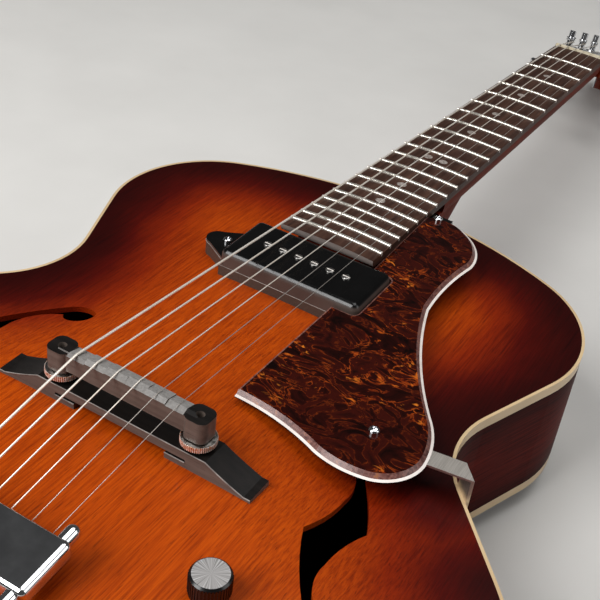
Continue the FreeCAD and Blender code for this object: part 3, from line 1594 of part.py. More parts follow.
def control_pot(place):
    """A pot under the top: its can, the bushing through the plate and the nut."""
    nut_low = place + at(0, 0, max(heights_round(place, size.pot_nut_radius)))
    nut_high = nut_low + at(0, 0, size.pot_nut_height)
    can_high = place + at(0, 0, min(heights_round(place, size.pot_radius)) - size.plate_thickness)
    can_low = can_high - at(0, 0, size.pot_height)
    can = rod(can_low, can_high, size.pot_radius)
    bushing = rod(can_high, nut_high, size.pot_bushing_radius)
    pot = can.fuse([bushing, rod(nut_low, nut_high, size.pot_nut_radius)]).removeSplitter()
    past = at(0, 0, size.overrun)
    shaft_room = size.pot_shaft_radius + size.running_clearance
    return pot.cut(rod(can_high - past, nut_high + past, shaft_room))


solid("control_pots", Part.makeCompound([control_pot(place) for place in pot_places()]), BODY)
knob_corners = (
    ("0", "0 - pot_shaft_length"), ("pot_shaft_radius", "0 - pot_shaft_length"), ("pot_shaft_radius", "0"),
    ("knob_radius", "0"), ("knob_radius", "knob_height - knob_chamfer"),
    ("knob_radius - knob_chamfer", "knob_height"), ("0", "knob_height"),
)
for name, place in zip(("volume_knob", "tone_knob"), pot_places()):
    seat = max(heights_round(place, size.pot_nut_radius)) + size.pot_nut_height + size.knob_gap
    turned(name, knob_corners, BODY * Placement(place + at(0, 0, seat), Rotation()))
jack_corners = (
    ("0", "0 - jack_length"), ("jack_barrel_radius", "0 - jack_length"), ("jack_barrel_radius", "0"),
    ("jack_nut_radius", "0"), ("jack_nut_radius", "jack_nut_height"),
    ("jack_bore_radius", "jack_nut_height"),
    ("jack_bore_radius", "jack_wall - jack_length"), ("0", "jack_wall - jack_length"),
)
turned("output_jack", jack_corners, BODY * jack_frame())


# Check every object, then write each sub-part to its own file
doc.recompute()
failed = [thing.Name for thing in doc.Objects if {"Invalid", "Error"} & set(thing.State)]
failed += [piece.Label for piece in pieces if piece.Shape.isNull() or not piece.Shape.isValid()]
if failed:
    raise RuntimeError("failed: " + ", ".join(failed))
os.makedirs("parts", exist_ok=True)
for piece in pieces:
    piece.Shape.exportStep(f"parts/{piece.Label}.step")
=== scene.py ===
import math

import bmesh
import bpy
from mathutils import Matrix, Vector
from mathutils.kdtree import KDTree


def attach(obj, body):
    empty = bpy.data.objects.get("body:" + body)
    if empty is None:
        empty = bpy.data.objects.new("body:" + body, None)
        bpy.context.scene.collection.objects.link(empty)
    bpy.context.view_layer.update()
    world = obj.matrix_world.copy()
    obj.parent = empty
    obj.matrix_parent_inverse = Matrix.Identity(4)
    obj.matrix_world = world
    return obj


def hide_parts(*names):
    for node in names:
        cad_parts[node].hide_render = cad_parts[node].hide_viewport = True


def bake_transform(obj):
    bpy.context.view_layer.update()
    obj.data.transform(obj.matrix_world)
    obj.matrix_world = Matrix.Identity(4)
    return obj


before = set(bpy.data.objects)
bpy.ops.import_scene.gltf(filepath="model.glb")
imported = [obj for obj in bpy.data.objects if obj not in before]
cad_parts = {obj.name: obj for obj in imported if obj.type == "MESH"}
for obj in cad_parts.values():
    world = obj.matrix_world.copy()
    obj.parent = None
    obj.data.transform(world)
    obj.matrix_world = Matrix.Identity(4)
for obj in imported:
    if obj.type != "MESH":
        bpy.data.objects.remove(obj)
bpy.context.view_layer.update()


# Top plate: thin cross-laminated cherry pressed to an arch, with two f-holes sawn through it.
# It is glued down on the linings, then stained from an amber middle to a dark rim and lacquered.
# The lacquer is rubbed to a satin: the sheen is soft, and the open pores show as short dark dashes.
MM = 0.001
MIX_SHARE, MIX_UNDER, MIX_OVER = 0, 6, 7  # the sockets of a Mix node that mixes colours
colours = {"data_type": "RGBA"}
eased = {"interpolation_type": "SMOOTHSTEP"}
line_shades = [(0.28, "#BFA89C"), (0.5, "#EADFD8"), (0.68, "#FFFFFF")]
rim_dark, rim_wander = 2 * MM, 24 * MM


def linear(colour):
    """A written sRGB colour as the linear RGBA that sockets take."""
    shares = [int(colour[i:i + 2], 16) / 255 for i in (1, 3, 5)]
    return [s / 12.92 if s <= 0.04045 else ((s + 0.055) / 1.055) ** 2.4 for s in shares] + [1.0]


def feed(tree, node, inputs):
    """Gives each input named a constant, or links it to a socket or to a node's first live output."""
    for key, value in inputs.items():
        if isinstance(value, bpy.types.Node):
            value = next(socket for socket in value.outputs if socket.enabled)
        if isinstance(value, bpy.types.NodeSocket):
            tree.links.new(value, node.inputs[key])
        else:
            node.inputs[key].default_value = value


def add(tree, kind, inputs=None, stops=(), **settings):
    """Adds a node with its settings, its colour stops and its links."""
    node = tree.nodes.new(kind)
    for key, value in settings.items():
        setattr(node, key, value)
    if stops:
        bands = node.color_ramp.elements
        bands[0].position, bands[1].position = stops[0][0], stops[-1][0]
        for place, _ in stops[1:-1]:
            bands.new(place)
        for band, (_, colour) in zip(bands, stops):
            band.color = linear(colour)
    feed(tree, node, inputs or {})
    return node


def per_mm(*sizes):
    """The scales of a pattern whose patches measure those millimetres along each axis."""
    return [1 / (size * MM) for size in sizes]


def finish(name, roughness, metallic=0.0, coat=0.0, gloss=0.5):
    """A new material with its tree, its shader and its place in the part's own metres."""
    made = bpy.data.materials.new(name)
    made.use_nodes = True
    tree = made.node_tree
    shader = tree.nodes["Principled BSDF"]
    feed(tree, shader, {"Roughness": roughness, "Metallic": metallic, "Specular IOR Level": gloss,
                        "Coat Weight": coat, "Coat Roughness": 0.15})
    return made, tree, shader, add(tree, "ShaderNodeTexCoord").outputs["Object"]


def grained(tree, place, stain, lines, pores, shades=line_shades, pore_colour="#240A05", pore_share=0.38,
            pore_depth=0.015):
    """Wood whose stain is shaded by fine lines and crossed by dark pores, and the relief of those pores.
    Real pores are about 0.1 mm wide: they are drawn four times as wide, so that they show."""
    spaced = add(tree, "ShaderNodeMapping", {"Vector": place, "Scale": per_mm(*lines)})
    rings = add(tree, "ShaderNodeTexNoise", {"Vector": spaced, "Scale": 1.0, "Detail": 4.0})
    spaced = add(tree, "ShaderNodeMapping", {"Vector": place, "Scale": per_mm(*pores)})
    dashes = add(tree, "ShaderNodeTexNoise", {"Vector": spaced, "Scale": 1.0, "Detail": 2.0})
    shade = add(tree, "ShaderNodeValToRGB", {"Fac": rings}, shades)
    lined = add(tree, "ShaderNodeMix", {MIX_SHARE: 1.0, MIX_UNDER: stain, MIX_OVER: shade},
                blend_type="MULTIPLY", **colours)
    filled = add(tree, "ShaderNodeMapRange",
                 {"Value": dashes, "From Min": 0.58, "From Max": 0.68, "To Max": pore_share}, **eased)
    wood = add(tree, "ShaderNodeMix",
               {MIX_SHARE: filled, MIX_UNDER: lined, MIX_OVER: linear(pore_colour)}, **colours)
    sunk = {"Height": dashes, "Distance": pore_depth * MM, "Strength": 1.0}
    return wood, add(tree, "ShaderNodeBump", sunk)


def sunburst(name, stops, rim_fade):
    """Lacquered wood whose stain darkens over that many millimetres towards the rim."""
    made, tree, shader, place = finish(name, 0.4, coat=0.04, gloss=0.12)
    spaced = add(tree, "ShaderNodeMapping", {"Vector": place, "Scale": per_mm(46, 90, 46)})
    clouds = add(tree, "ShaderNodeTexNoise", {"Vector": spaced, "Scale": 1.0, "Detail": 3.0})
    wander = add(tree, "ShaderNodeMath", {0: clouds, 1: rim_wander, 2: -rim_wander / 2},
                 operation="MULTIPLY_ADD")
    rim = add(tree, "ShaderNodeAttribute", attribute_name="rim").outputs["Fac"]
    inwards = add(tree, "ShaderNodeMath", {0: rim, 1: wander}, operation="ADD")
    depth = add(tree, "ShaderNodeMapRange",
                {"Value": inwards, "From Min": rim_dark, "From Max": rim_fade * MM}, **eased)
    stain = add(tree, "ShaderNodeValToRGB", {"Fac": depth}, stops)
    wood, open_pores = grained(tree, place, stain, lines=(0.8, 27.2, 0.8), pores=(0.4, 8.8, 0.4))
    feed(tree, shader, {"Base Color": wood, "Normal": open_pores})
    return made


def rimmed(node, edge):
    """A copy of a plate's mesh that knows how far each point lies from the binding around it."""
    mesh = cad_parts[node].data.copy()
    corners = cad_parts[edge].data.vertices
    near = KDTree(len(corners))
    for i, corner in enumerate(corners):
        near.insert((corner.co.x, corner.co.y, 0.0), i)
    near.balance()
    rim = mesh.attributes.new("rim", "FLOAT", "POINT")
    for point, value in zip(mesh.vertices, rim.data):
        value.value = near.find((point.co.x, point.co.y, 0.0))[2]
    return mesh


def piece(name, mesh, *materials):
    """A new piece of the part in its finish."""
    made = bpy.data.objects.new(name, mesh)
    bpy.context.scene.collection.objects.link(made)
    while mesh.materials:
        mesh.materials.pop()
    for material in materials:
        mesh.materials.append(material)
    return made


amber_burst = [(0.0, "#2C0302"), (0.15, "#4E0A03"), (0.4, "#852504"), (0.7, "#A63D04"), (1.0, "#B84A05")]
cherry_top = sunburst("lacquered_cherry_sunburst", amber_burst, rim_fade=100)
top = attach(piece("top_plate_sunburst", rimmed("top_plate", "top_binding"), cherry_top), "guitar")
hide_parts("top_plate")

# Back plate: the same pressed laminate, arched the other way and glued on the lower linings.
# It is stained red-brown right across, so it looks deep and even, and darker at the rim.
red_burst = [(0.0, "#2A0504"), (0.5, "#561208"), (1.0, "#82260C")]
cherry_back = sunburst("lacquered_cherry_back", red_burst, rim_fade=150)
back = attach(piece("back_plate_sunburst", rimmed("back_plate", "back_binding"), cherry_back), "guitar")
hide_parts("back_plate")

# Sides: two bent strips of laminated cherry, joined at the neck and tail blocks.
# The grain runs round the body, and the stain is darkest along both bindings.
# Under thin lacquer they look almost matt, with long fine streaks.
side_middle, dark_from, light_from = 52.5 * MM, 38 * MM, 6 * MM
side_shades = [(0.3, "#A08478"), (0.66, "#FFFFFF")]


def dress(material, *nodes):
    """Gives CAD nodes their finish."""
    for node in nodes:
        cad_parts[node].data.materials[0] = material


cherry_sides, tree, shader, place = finish("lacquered_cherry_sides", 0.45, gloss=0.02)
height = add(tree, "ShaderNodeSeparateXYZ", {"Vector": place}).outputs["Z"]
offset = add(tree, "ShaderNodeMath", {0: height, 1: side_middle}, operation="SUBTRACT")
from_middle = add(tree, "ShaderNodeMath", {0: offset}, operation="ABSOLUTE")
light = add(tree, "ShaderNodeMapRange",
            {"Value": from_middle, "From Min": dark_from, "From Max": light_from}, **eased)
stain = add(tree, "ShaderNodeValToRGB", {"Fac": light}, [(0.0, "#340705"), (1.0, "#5C140B")])
wood, open_pores = grained(tree, place, stain, lines=(46, 46, 1.1), pores=(10, 10, 0.5), shades=side_shades,
                           pore_colour="#1C0503", pore_share=0.5)
feed(tree, shader, {"Base Color": wood, "Normal": open_pores})
dress(cherry_sides, "sides")

# Bindings: cream plastic strips let into the corner where each plate meets the sides.
# They are scraped flush and lacquered over: a pale line, slightly yellowed, with faint scraper marks.
cream_shades = [(0.3, "#BFA27A"), (0.7, "#D2B78F")]
scraper_depth = 0.01 * MM


def mottled(name, patch, shades, roughness, detail=3.0, distortion=0.0, relief=0.0, wear=(0.3, 0.8),
            **look):
    """A material whose shade wanders over patches of that size in millimetres, and its relief with it.
    Where roughness is a pair, it runs from one to the other as the patches pass the two values of wear."""
    worn = isinstance(roughness, tuple)
    made, tree, shader, place = finish(name, roughness[0] if worn else roughness, **look)
    spaced = add(tree, "ShaderNodeMapping", {"Vector": place, "Scale": per_mm(*patch)})
    patches = add(tree, "ShaderNodeTexNoise",
                  {"Vector": spaced, "Scale": 1.0, "Detail": detail, "Distortion": distortion})
    feed(tree, shader, {"Base Color": add(tree, "ShaderNodeValToRGB", {"Fac": patches}, shades)})
    if worn:
        rubbed = {"Value": patches, "From Min": wear[0], "From Max": wear[1],
                  "To Min": roughness[0], "To Max": roughness[1]}
        feed(tree, shader, {"Roughness": add(tree, "ShaderNodeMapRange", rubbed, **eased)})
    if relief:
        raised = {"Height": patches, "Distance": relief * MM, "Strength": 1.0}
        feed(tree, shader, {"Normal": add(tree, "ShaderNodeBump", raised)})
    return made


cream_binding = mottled("cream_binding_plastic", (40, 40, 40), cream_shades, 0.34,
                        detail=2.0, coat=0.2, gloss=0.4)
tree = cream_binding.node_tree
place = tree.nodes["Texture Coordinate"].outputs["Object"]
spaced = add(tree, "ShaderNodeMapping", {"Vector": place, "Scale": per_mm(3, 3, 0.4)})
marks = add(tree, "ShaderNodeTexNoise", {"Vector": spaced, "Scale": 1.0, "Detail": 3.0})
scraped = add(tree, "ShaderNodeBump", {"Height": marks, "Distance": scraper_depth, "Strength": 1.0})
feed(tree, tree.nodes["Principled BSDF"], {"Normal": scraped})
dress(cream_binding, "top_binding", "back_binding")

# Inner woodwork: linings, end blocks and two tone bars, glued inside the box before the back goes on.
# All are bare planed spruce: pale and dry, with the harder rings standing slightly proud.
bare_spruce = mottled("bare_spruce", (1.6, 60, 1.6), [(0.35, "#C9A06A"), (0.65, "#E2C597")], 0.7,
                      detail=2.0, relief=0.05, gloss=0.3)
dress(bare_spruce, "linings", "neck_block", "tail_block", "tone_bars")

# Neck: one carved length of mahogany with its heel, let into the neck block and glued.
# It is stained and lacquered thinly: red-brown and almost matt, with the grain along its length.
stained_mahogany, tree, shader, place = finish("stained_mahogany", 0.45, gloss=0.02)
spaced = add(tree, "ShaderNodeMapping", {"Vector": place, "Scale": per_mm(7, 160, 7)})
bands = add(tree, "ShaderNodeTexNoise", {"Vector": spaced, "Scale": 1.0, "Detail": 4.0})
stain = add(tree, "ShaderNodeValToRGB", {"Fac": bands}, [(0.3, "#5A1C0C"), (0.7, "#7C2C14")])
wood, open_pores = grained(tree, place, stain, lines=(0.9, 30.6, 0.9), pores=(0.5, 11, 0.5))
feed(tree, shader, {"Base Color": wood, "Normal": open_pores})
dress(stained_mahogany, "neck")

# Fingerboard: a rosewood board, radiused across and glued along the neck.
# It is oiled, not lacquered: a dull brown with darker bands and open pores. Its end face, which looks to
# the tail, is painted a paler grey-brown: a painted highlight.
oiled_rosewood, tree, shader, place = finish("oiled_rosewood", 0.5, gloss=0.12)
spaced = add(tree, "ShaderNodeMapping", {"Vector": place, "Scale": per_mm(3, 110, 3)})
bands = add(tree, "ShaderNodeTexNoise", {"Vector": spaced, "Scale": 1.0, "Detail": 5.0, "Distortion": 0.4})
board_browns = [(0.25, "#33231E"), (0.5, "#49342C"), (0.78, "#644A3E")]
stain = add(tree, "ShaderNodeValToRGB", {"Fac": bands}, board_browns)
wood, open_pores = grained(tree, place, stain, lines=(0.7, 23.8, 0.7), pores=(0.4, 8.8, 0.4),
                           pore_depth=0.03)
normal = add(tree, "ShaderNodeNewGeometry").outputs["Normal"]
facing = add(tree, "ShaderNodeSeparateXYZ", {"Vector": normal}).outputs
# Painted highlight: faces that look to the tail are mixed towards a pale grey-brown.
end_highlight_range = {"Value": facing["Y"], "From Min": -0.5, "From Max": -0.9}
painted_sheen = add(tree, "ShaderNodeMapRange", end_highlight_range, **eased)
board = add(tree, "ShaderNodeMix",
            {MIX_SHARE: painted_sheen, MIX_UNDER: wood, MIX_OVER: linear("#7A706B")}, **colours)
feed(tree, shader, {"Base Color": board, "Normal": open_pores})
dress(oiled_rosewood, "fingerboard")

# Frets: lengths of nickel-silver wire pressed into saw slots, then levelled, crowned and polished.
# They shine along the crown, with fine scratches from the crowning file drawn coarse enough to show.
# Each is filed flush at the board's edges, where the dull cut end of its tang shows.
nickel_silver = mottled("polished_nickel_silver", (4, 0.15, 0.3), [(0.3, "#DCD6CA"), (0.7, "#F4EFE5")],
                        (0.16, 0.32), detail=2.0, metallic=0.7)
filed_ends = mottled("filed_nickel_silver", (2, 0.3, 0.3), [(0.3, "#C8BFB8"), (0.7, "#E2D9D1")], 0.45,
                     gloss=0.3)
dress(nickel_silver, "frets")


def settled(made):
    """The mesh of a helper object with its modifiers worked in; the helper goes."""
    bpy.context.view_layer.update()
    graph = bpy.context.evaluated_depsgraph_get()
    mesh = bpy.data.meshes.new_from_object(made.evaluated_get(graph))
    bpy.data.objects.remove(made)
    return mesh


def helper(name, mesh):
    """An object that only serves to make a mesh."""
    made = bpy.data.objects.new(name, mesh)
    bpy.context.scene.collection.objects.link(made)
    return made


def take(tree, *kinds):
    """Gives a Geometry Nodes tree its one result and its named inputs, and hands those inputs back."""
    tree.interface.new_socket("Geometry", in_out="OUTPUT", socket_type="NodeSocketGeometry")
    for name, kind in kinds:
        tree.interface.new_socket(name, in_out="INPUT", socket_type=f"NodeSocket{kind}")
    return add(tree, "NodeGroupInput").outputs


def give(tree, instances, material):
    """Ends a tree: its instances become one real mesh in one finish."""
    real = add(tree, "GeometryNodeRealizeInstances", {"Geometry": instances})
    done = add(tree, "GeometryNodeSetMaterial", {"Geometry": real, "Material": material})
    add(tree, "NodeGroupOutput", {"Geometry": done})


def grown(name, mesh, tree, **values):
    """What a tree makes of a mesh with the values given, as a plain mesh."""
    made = helper(name, mesh)
    modifier = made.modifiers.new(name, "NODES")
    modifier.node_group = tree
    for item in tree.interface.items_tree:
        if item.name in values:
            modifier[item.identifier] = values[item.name]
    return settled(made)


at_seats = bpy.data.node_groups.new("part_at_each_seat", "GeometryNodeTree")
given = take(at_seats, ("Seats", "Geometry"), ("Part", "Object"), ("Finish", "Material"))
part = add(at_seats, "GeometryNodeObjectInfo", {"Object": given["Part"]}).outputs["Geometry"]
stood = add(at_seats, "GeometryNodeInstanceOnPoints", {"Points": given["Seats"], "Instance": part})
give(at_seats, stood, given["Finish"])

MERGE = 0.001 * MM


def solids(node):
    """The corners of each separate solid of a CAD node, in the mesh's own order, the same in each run."""
    work = bmesh.new()
    work.from_mesh(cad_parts[node].data)
    bmesh.ops.remove_doubles(work, verts=work.verts, dist=MERGE)
    found, seen = [], set()
    for first in work.verts:
        shell, edge = set(), {first} - seen
        while edge:
            shell |= edge
            edge = {e.other_vert(v) for v in edge for e in v.link_edges} - shell
        if shell:
            found.append([v.co.copy() for v in work.verts if v in shell])
        seen |= shell
    work.free()
    return found


tang_width, tang_height, tang_sunk, tang_proud = 1.2 * MM, 2.6 * MM, 0.3 * MM, 0.15 * MM
fret_end = 0.3 * MM
seats = []
for corners in solids("frets"):
    middle = sum(corners, Vector()) / len(corners)
    for side in (-1, 1):
        edge = max(side * c.x for c in corners)
        crown = max(c.z for c in corners if side * c.x > edge - fret_end)
        seats.append((side * (edge + tang_proud - tang_sunk), middle.y, crown - tang_height / 2))
work = bmesh.new()
bmesh.ops.create_cube(work, size=1.0, matrix=Matrix.Diagonal((2 * tang_sunk, tang_width, tang_height, 1)))
tang_mesh = bpy.data.meshes.new("tang")
work.to_mesh(tang_mesh)
work.free()
points = bpy.data.meshes.new("tang_seats")
points.from_pydata(seats, [], [])
tang = helper("tang", tang_mesh)
tang_ends = grown("fret_tang_ends", points, at_seats, Part=tang, Finish=filed_ends)
bpy.data.objects.remove(tang)
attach(piece("fret_tang_ends", tang_ends, filed_ends), "guitar")

# Position markers: small discs of grey mother-of-pearl set flush in drilled recesses.
# The polished layers of the shell show as soft darker and lighter bands.
grey_pearl = mottled("grey_mother_of_pearl", (2.5, 2.5, 0.8),
                     [(0.3, "#5E5550"), (0.5, "#9C928B"), (0.72, "#CFC7C1")], 0.3, distortion=1.5)
dress(grey_pearl, "fret_markers")

# Nut: a moulded ivory-coloured block glued across the board's end, with a slot filed for each string.
# Handling has polished it and left it faintly uneven in tone.
ivory_nut = mottled("ivory_coloured_nut", (6, 3, 3), [(0.3, "#D9CBAA"), (0.7, "#EEE4CC")], 0.35, detail=2.0)
dress(ivory_nut, "nut")

# Headstock face: a thin black-dyed veneer glued over the mahogany and lacquered to a gloss.
# It is nearly black, and its pores still show faintly under the lacquer.
black_veneer = mottled("black_dyed_veneer", (0.5, 9, 0.5), [(0.4, "#0E0A09"), (0.7, "#1E1613")], 0.25,
                       detail=2.0, coat=0.3, gloss=0.35)
dress(black_veneer, "headstock_veneer")

# Truss rod and its cover: a bare steel bar, streaked from drawing, let into the neck under the board.
# It is adjusted from the headstock, behind a small bell of moulded plastic, glossy with a slight haze.
plain_steel = mottled("plain_steel", (0.4, 6, 0.4), [(0.3, "#9A9794"), (0.7, "#C4C1BD")], (0.25, 0.42),
                      metallic=1.0)
black_plastic = mottled("gloss_black_plastic", (14, 14, 14), [(0.3, "#050505"), (0.7, "#0B0A0A")],
                        (0.16, 0.26), detail=4.0, gloss=0.4)
dress(plain_steel, "truss_rod")
dress(black_plastic, "truss_rod_cover")

# Tuners: die-cast housings screwed behind the headstock, each with a worm on its key and a geared post.
# Everything that shows is chrome plated: a clean mirror with only the faintest smears.
chrome = mottled("chrome_plate", (9, 9, 9), [(0.3, "#D0D1D3"), (0.7, "#E6E7E9")], (0.09, 0.13),
                 detail=4.0, wear=(0.35, 0.75), metallic=1.0)
dress(chrome, "tuner_housings", "tuner_bushings", "tuner_screws")
string_count = 6
for string in range(1, string_count + 1):
    dress(chrome, f"tuner_post_{string}", f"tuner_key_{string}")

# Pickup: a pressed brass base and a taped coil, under a moulded cover that stands on a satin riser.
# The cover is polished black on top and its walls are painted a lighter grey as painted light, and a pale
# bead along its lower edge is a painted highlight.
# Two round-headed cross-slot screws hold the cover's ears, and six slotted screws are its poles.

# Pressed brass sheet: a warm, soft mirror.
brass = mottled("pressed_brass", (3, 3, 0.2), [(0.3, "#C39A5C"), (0.7, "#E0BE82")], (0.2, 0.4),
                detail=2.0, metallic=1.0)

# Woven cloth tape: dull and dark, with its weave drawn coarse enough to show.
coil_tape = mottled("cloth_coil_tape", (0.4, 0.4, 0.4), [(0.3, "#14110F"), (0.7, "#2A2420")], 0.7,
                    detail=2.0, relief=0.05, gloss=0.3)

# Black plastic from a fine-grained mould with a satin face, coloured a flat brown-grey: a painted
# reflection of its lit surroundings.
riser_painted_grey = mottled("riser_plastic_painted_grey", (0.8, 0.8, 0.8), [(0.3, "#40362F"), (0.7, "#50443C")], 0.4,
                      relief=0.01, gloss=0.4)

# Plastic buffed on its top only: black and glossy there and dull on the walls, whose lighter grey is
# painted light.
cover_plastic, tree, shader, place = finish("moulded_cover_plastic", 0.2, gloss=0.4)
normal = add(tree, "ShaderNodeNewGeometry").outputs["Normal"]
facing = add(tree, "ShaderNodeSeparateXYZ", {"Vector": normal}).outputs
upwards = {"Value": facing["Z"], "From Min": 0.3, "From Max": 0.7}
polished_top_painted_walls = add(tree, "ShaderNodeMapRange", upwards, **eased)
spaced = add(tree, "ShaderNodeMapping", {"Vector": place, "Scale": per_mm(14, 14, 14)})
haze = add(tree, "ShaderNodeTexNoise", {"Vector": spaced, "Scale": 1.0, "Detail": 4.0})
# Painted light: the walls get a lighter grey-brown than the black top, by the way each face looks.
painted_wall_light = add(tree, "ShaderNodeValToRGB", {"Fac": haze}, [(0.3, "#463B36"), (0.7, "#544842")])
crown = add(tree, "ShaderNodeValToRGB", {"Fac": haze}, [(0.3, "#050505"), (0.7, "#0B0A0A")])
shell = add(tree, "ShaderNodeMix", {MIX_SHARE: polished_top_painted_walls, MIX_UNDER: painted_wall_light, MIX_OVER: crown}, **colours)
rough = add(tree, "ShaderNodeMapRange", {"Value": polished_top_painted_walls, "To Min": 0.42, "To Max": 0.2}, **eased)
feed(tree, shader, {"Base Color": shell, "Roughness": rough})
dress(brass, "pickup_base")
dress(coil_tape, "pickup_coil")
dress(riser_painted_grey, "pickup_riser")
dress(cover_plastic, "pickup_cover")
dress(plain_steel, "pickup_pole_screws")
dress(chrome, "pickup_mounting_screws")

CAP_SUNK, DOME_STEPS, TURN_STEPS = 0.2 * MM, 6, 32
CROSS_SHARE, SLOT_SHARE, CUTTER_RISE_SHARE = 0.62, 1.2, 1.05


def slotted_cap(radius, height, slot, arms):
    """The domed end of a screw's head, with one slot right across it or a cross sunk in it."""
    turns = [math.pi / 2 * step / DOME_STEPS for step in range(DOME_STEPS + 1)]
    outline = [(0, -CAP_SUNK), (radius, -CAP_SUNK)]
    outline += [(radius * math.cos(turn), height * math.sin(turn)) for turn in turns]
    work = bmesh.new()
    loop = [work.verts.new((x, 0, z)) for x, z in outline]
    ring = [work.edges.new(pair) for pair in zip(loop, loop[1:])]
    bmesh.ops.spin(work, geom=loop + ring, axis=(0, 0, 1), cent=(0, 0, 0), steps=TURN_STEPS, angle=math.tau)
    bmesh.ops.remove_doubles(work, verts=work.verts, dist=MERGE)
    bmesh.ops.recalc_face_normals(work, faces=work.faces)
    dome = bpy.data.meshes.new("cap")
    work.to_mesh(dome)
    work.clear()
    reach = radius * (CROSS_SHARE if arms == 2 else SLOT_SHARE)
    sizes = Matrix.Diagonal((2 * reach, slot, 2 * height, 1))
    for arm in range(arms):
        turn = Matrix.Rotation(math.pi / 2 * arm, 4, "Z")
        raised = Matrix.Translation((0, 0, CUTTER_RISE_SHARE * height))
        bmesh.ops.create_cube(work, size=1.0, matrix=raised @ turn @ sizes)
    cut = bpy.data.meshes.new("slot")
    work.to_mesh(cut)
    work.free()
    cap, cutter = helper("cap", dome), helper("slot", cut)
    boolean = cap.modifiers.new("slot", "BOOLEAN")
    boolean.operation, boolean.object, boolean.use_self = "DIFFERENCE", cutter, True
    mesh = settled(cap)
    bpy.data.objects.remove(cutter)
    mesh.shade_smooth()
    mesh.set_sharp_from_angle(angle=math.radians(35))
    return mesh


LEVEL = 0.01 * MM


def tops(node):
    """The middle of the highest face of each separate solid of a CAD node."""
    found = []
    for corners in solids(node):
        peak = max(c.z for c in corners)
        crest = [c for c in corners if c.z > peak - LEVEL]
        found.append(sum(crest, Vector()) / len(crest))
    return found


def capped(name, seats, metal, radius, height, slot, arms):
    """Domed, slotted caps on the screws at those seats, with their sizes in millimetres."""
    points = bpy.data.meshes.new(name)
    points.from_pydata(seats, [], [])
    cap = helper("cap", slotted_cap(radius * MM, height * MM, slot * MM, arms))
    mesh = grown(name, points, at_seats, Part=cap, Finish=metal)
    bpy.data.objects.remove(cap)
    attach(piece(name, mesh, metal), "guitar")


capped("pole_screw_caps", tops("pickup_pole_screws"), plain_steel,
       radius=2.35, height=0.4, slot=0.8, arms=1)
capped("ear_screw_caps", tops("pickup_mounting_screws"), chrome,
       radius=2.55, height=1.1, slot=0.7, arms=2)


def rim_of(node):
    """The outer border of a CAD plate's upper face, in order round it."""
    work = bmesh.new()
    work.from_mesh(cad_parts[node].data)
    bmesh.ops.remove_doubles(work, verts=work.verts, dist=MERGE)
    peak = max(v.co.z for v in work.verts)
    upper = {face for face in work.faces if all(v.co.z > peak - LEVEL for v in face.verts)}
    border = [e for e in work.edges if sum(face in upper for face in e.link_faces) == 1]
    loops = []
    while border:
        edge = border.pop()
        loop = [edge.verts[0], edge.verts[1]]
        while True:
            following = next((e for e in loop[-1].link_edges if e in border), None)
            if following is None:
                break
            border.remove(following)
            loop.append(following.other_vert(loop[-1]))
        loops.append([v.co.copy() for v in loop if v is not loop[0]] + [loop[0].co.copy()])
    work.free()
    return max(loops, key=lambda loop: max(p.y for p in loop) - min(p.y for p in loop))


on_path = bpy.data.node_groups.new("bead_along_a_path", "GeometryNodeTree")
given = take(on_path, ("Path", "Geometry"), ("Radius", "Float"), ("Finish", "Material"))
path = add(on_path, "GeometryNodeMeshToCurve", {"Mesh": given["Path"]})
profile = add(on_path, "GeometryNodeCurvePrimitiveCircle", {"Resolution": 8, "Radius": given["Radius"]})
bead = add(on_path, "GeometryNodeCurveToMesh", {"Curve": path, "Profile Curve": profile})
give(on_path, bead, given["Finish"])

# A painted highlight: a pale bead along the cover's lower edge stands in for the glint of light on that
# rounded edge, broken in places.
cover_edge_painted_glint = mottled("painted_highlight_on_cover_edge", (5, 5, 5), [(0.35, "#6E6560"), (0.65, "#A89E98")], 0.35,
                         gloss=0.4)
cover_bead = 0.25 * MM
rim = rim_of("pickup_riser")
path = bpy.data.meshes.new("cover_edge")
path.from_pydata(rim, [(i, (i + 1) % len(rim)) for i in range(len(rim))], [])
cover_edge = grown("cover_edge", path, on_path, Radius=cover_bead, Finish=cover_edge_painted_glint)
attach(piece("pickup_cover_edge", cover_edge, cover_edge_painted_glint), "guitar")

# Bridge: a two-foot rosewood base on the top, and a compensated saddle that stands on two studs.
# Upper faces are polished and painted black, a painted reflection of dark surroundings; the sides are
# painted a lighter brown-grey as painted light; and a pale bead along one long corner is a painted
# highlight.
# The crest under the strings is painted pale grey where it slopes, between the saddle's round ends: a
# painted sheen.
crest_half, crest_fade, bridge_pore_depth = 31.2 * MM, 0.3 * MM, 0.01 * MM
dark_rosewood, tree, shader, place = finish("dark_rosewood", 0.36, gloss=0.25)
normal = add(tree, "ShaderNodeNewGeometry").outputs["Normal"]
facing = add(tree, "ShaderNodeSeparateXYZ", {"Vector": normal}).outputs
flat = add(tree, "ShaderNodeMapRange", {"Value": facing["Z"], "From Min": 0.6, "From Max": 0.9}, **eased)
lean = add(tree, "ShaderNodeMath", {0: facing["Y"]}, operation="ABSOLUTE")
leaning = add(tree, "ShaderNodeMapRange", {"Value": lean, "From Min": 0.06, "From Max": 0.12}, **eased)
sloped = add(tree, "ShaderNodeMath", {0: flat, 1: leaning}, operation="MULTIPLY")
along = add(tree, "ShaderNodeSeparateXYZ", {"Vector": place}).outputs["X"]
across = add(tree, "ShaderNodeMath", {0: along}, operation="ABSOLUTE")
between = add(tree, "ShaderNodeMapRange",
              {"Value": across, "From Min": crest_half + crest_fade, "From Max": crest_half}, **eased)
crest = add(tree, "ShaderNodeMath", {0: sloped, 1: between}, operation="MULTIPLY")
spaced = add(tree, "ShaderNodeMapping", {"Vector": place, "Scale": per_mm(70, 3, 3)})
bands = add(tree, "ShaderNodeTexNoise", {"Vector": spaced, "Scale": 1.0, "Detail": 4.0})
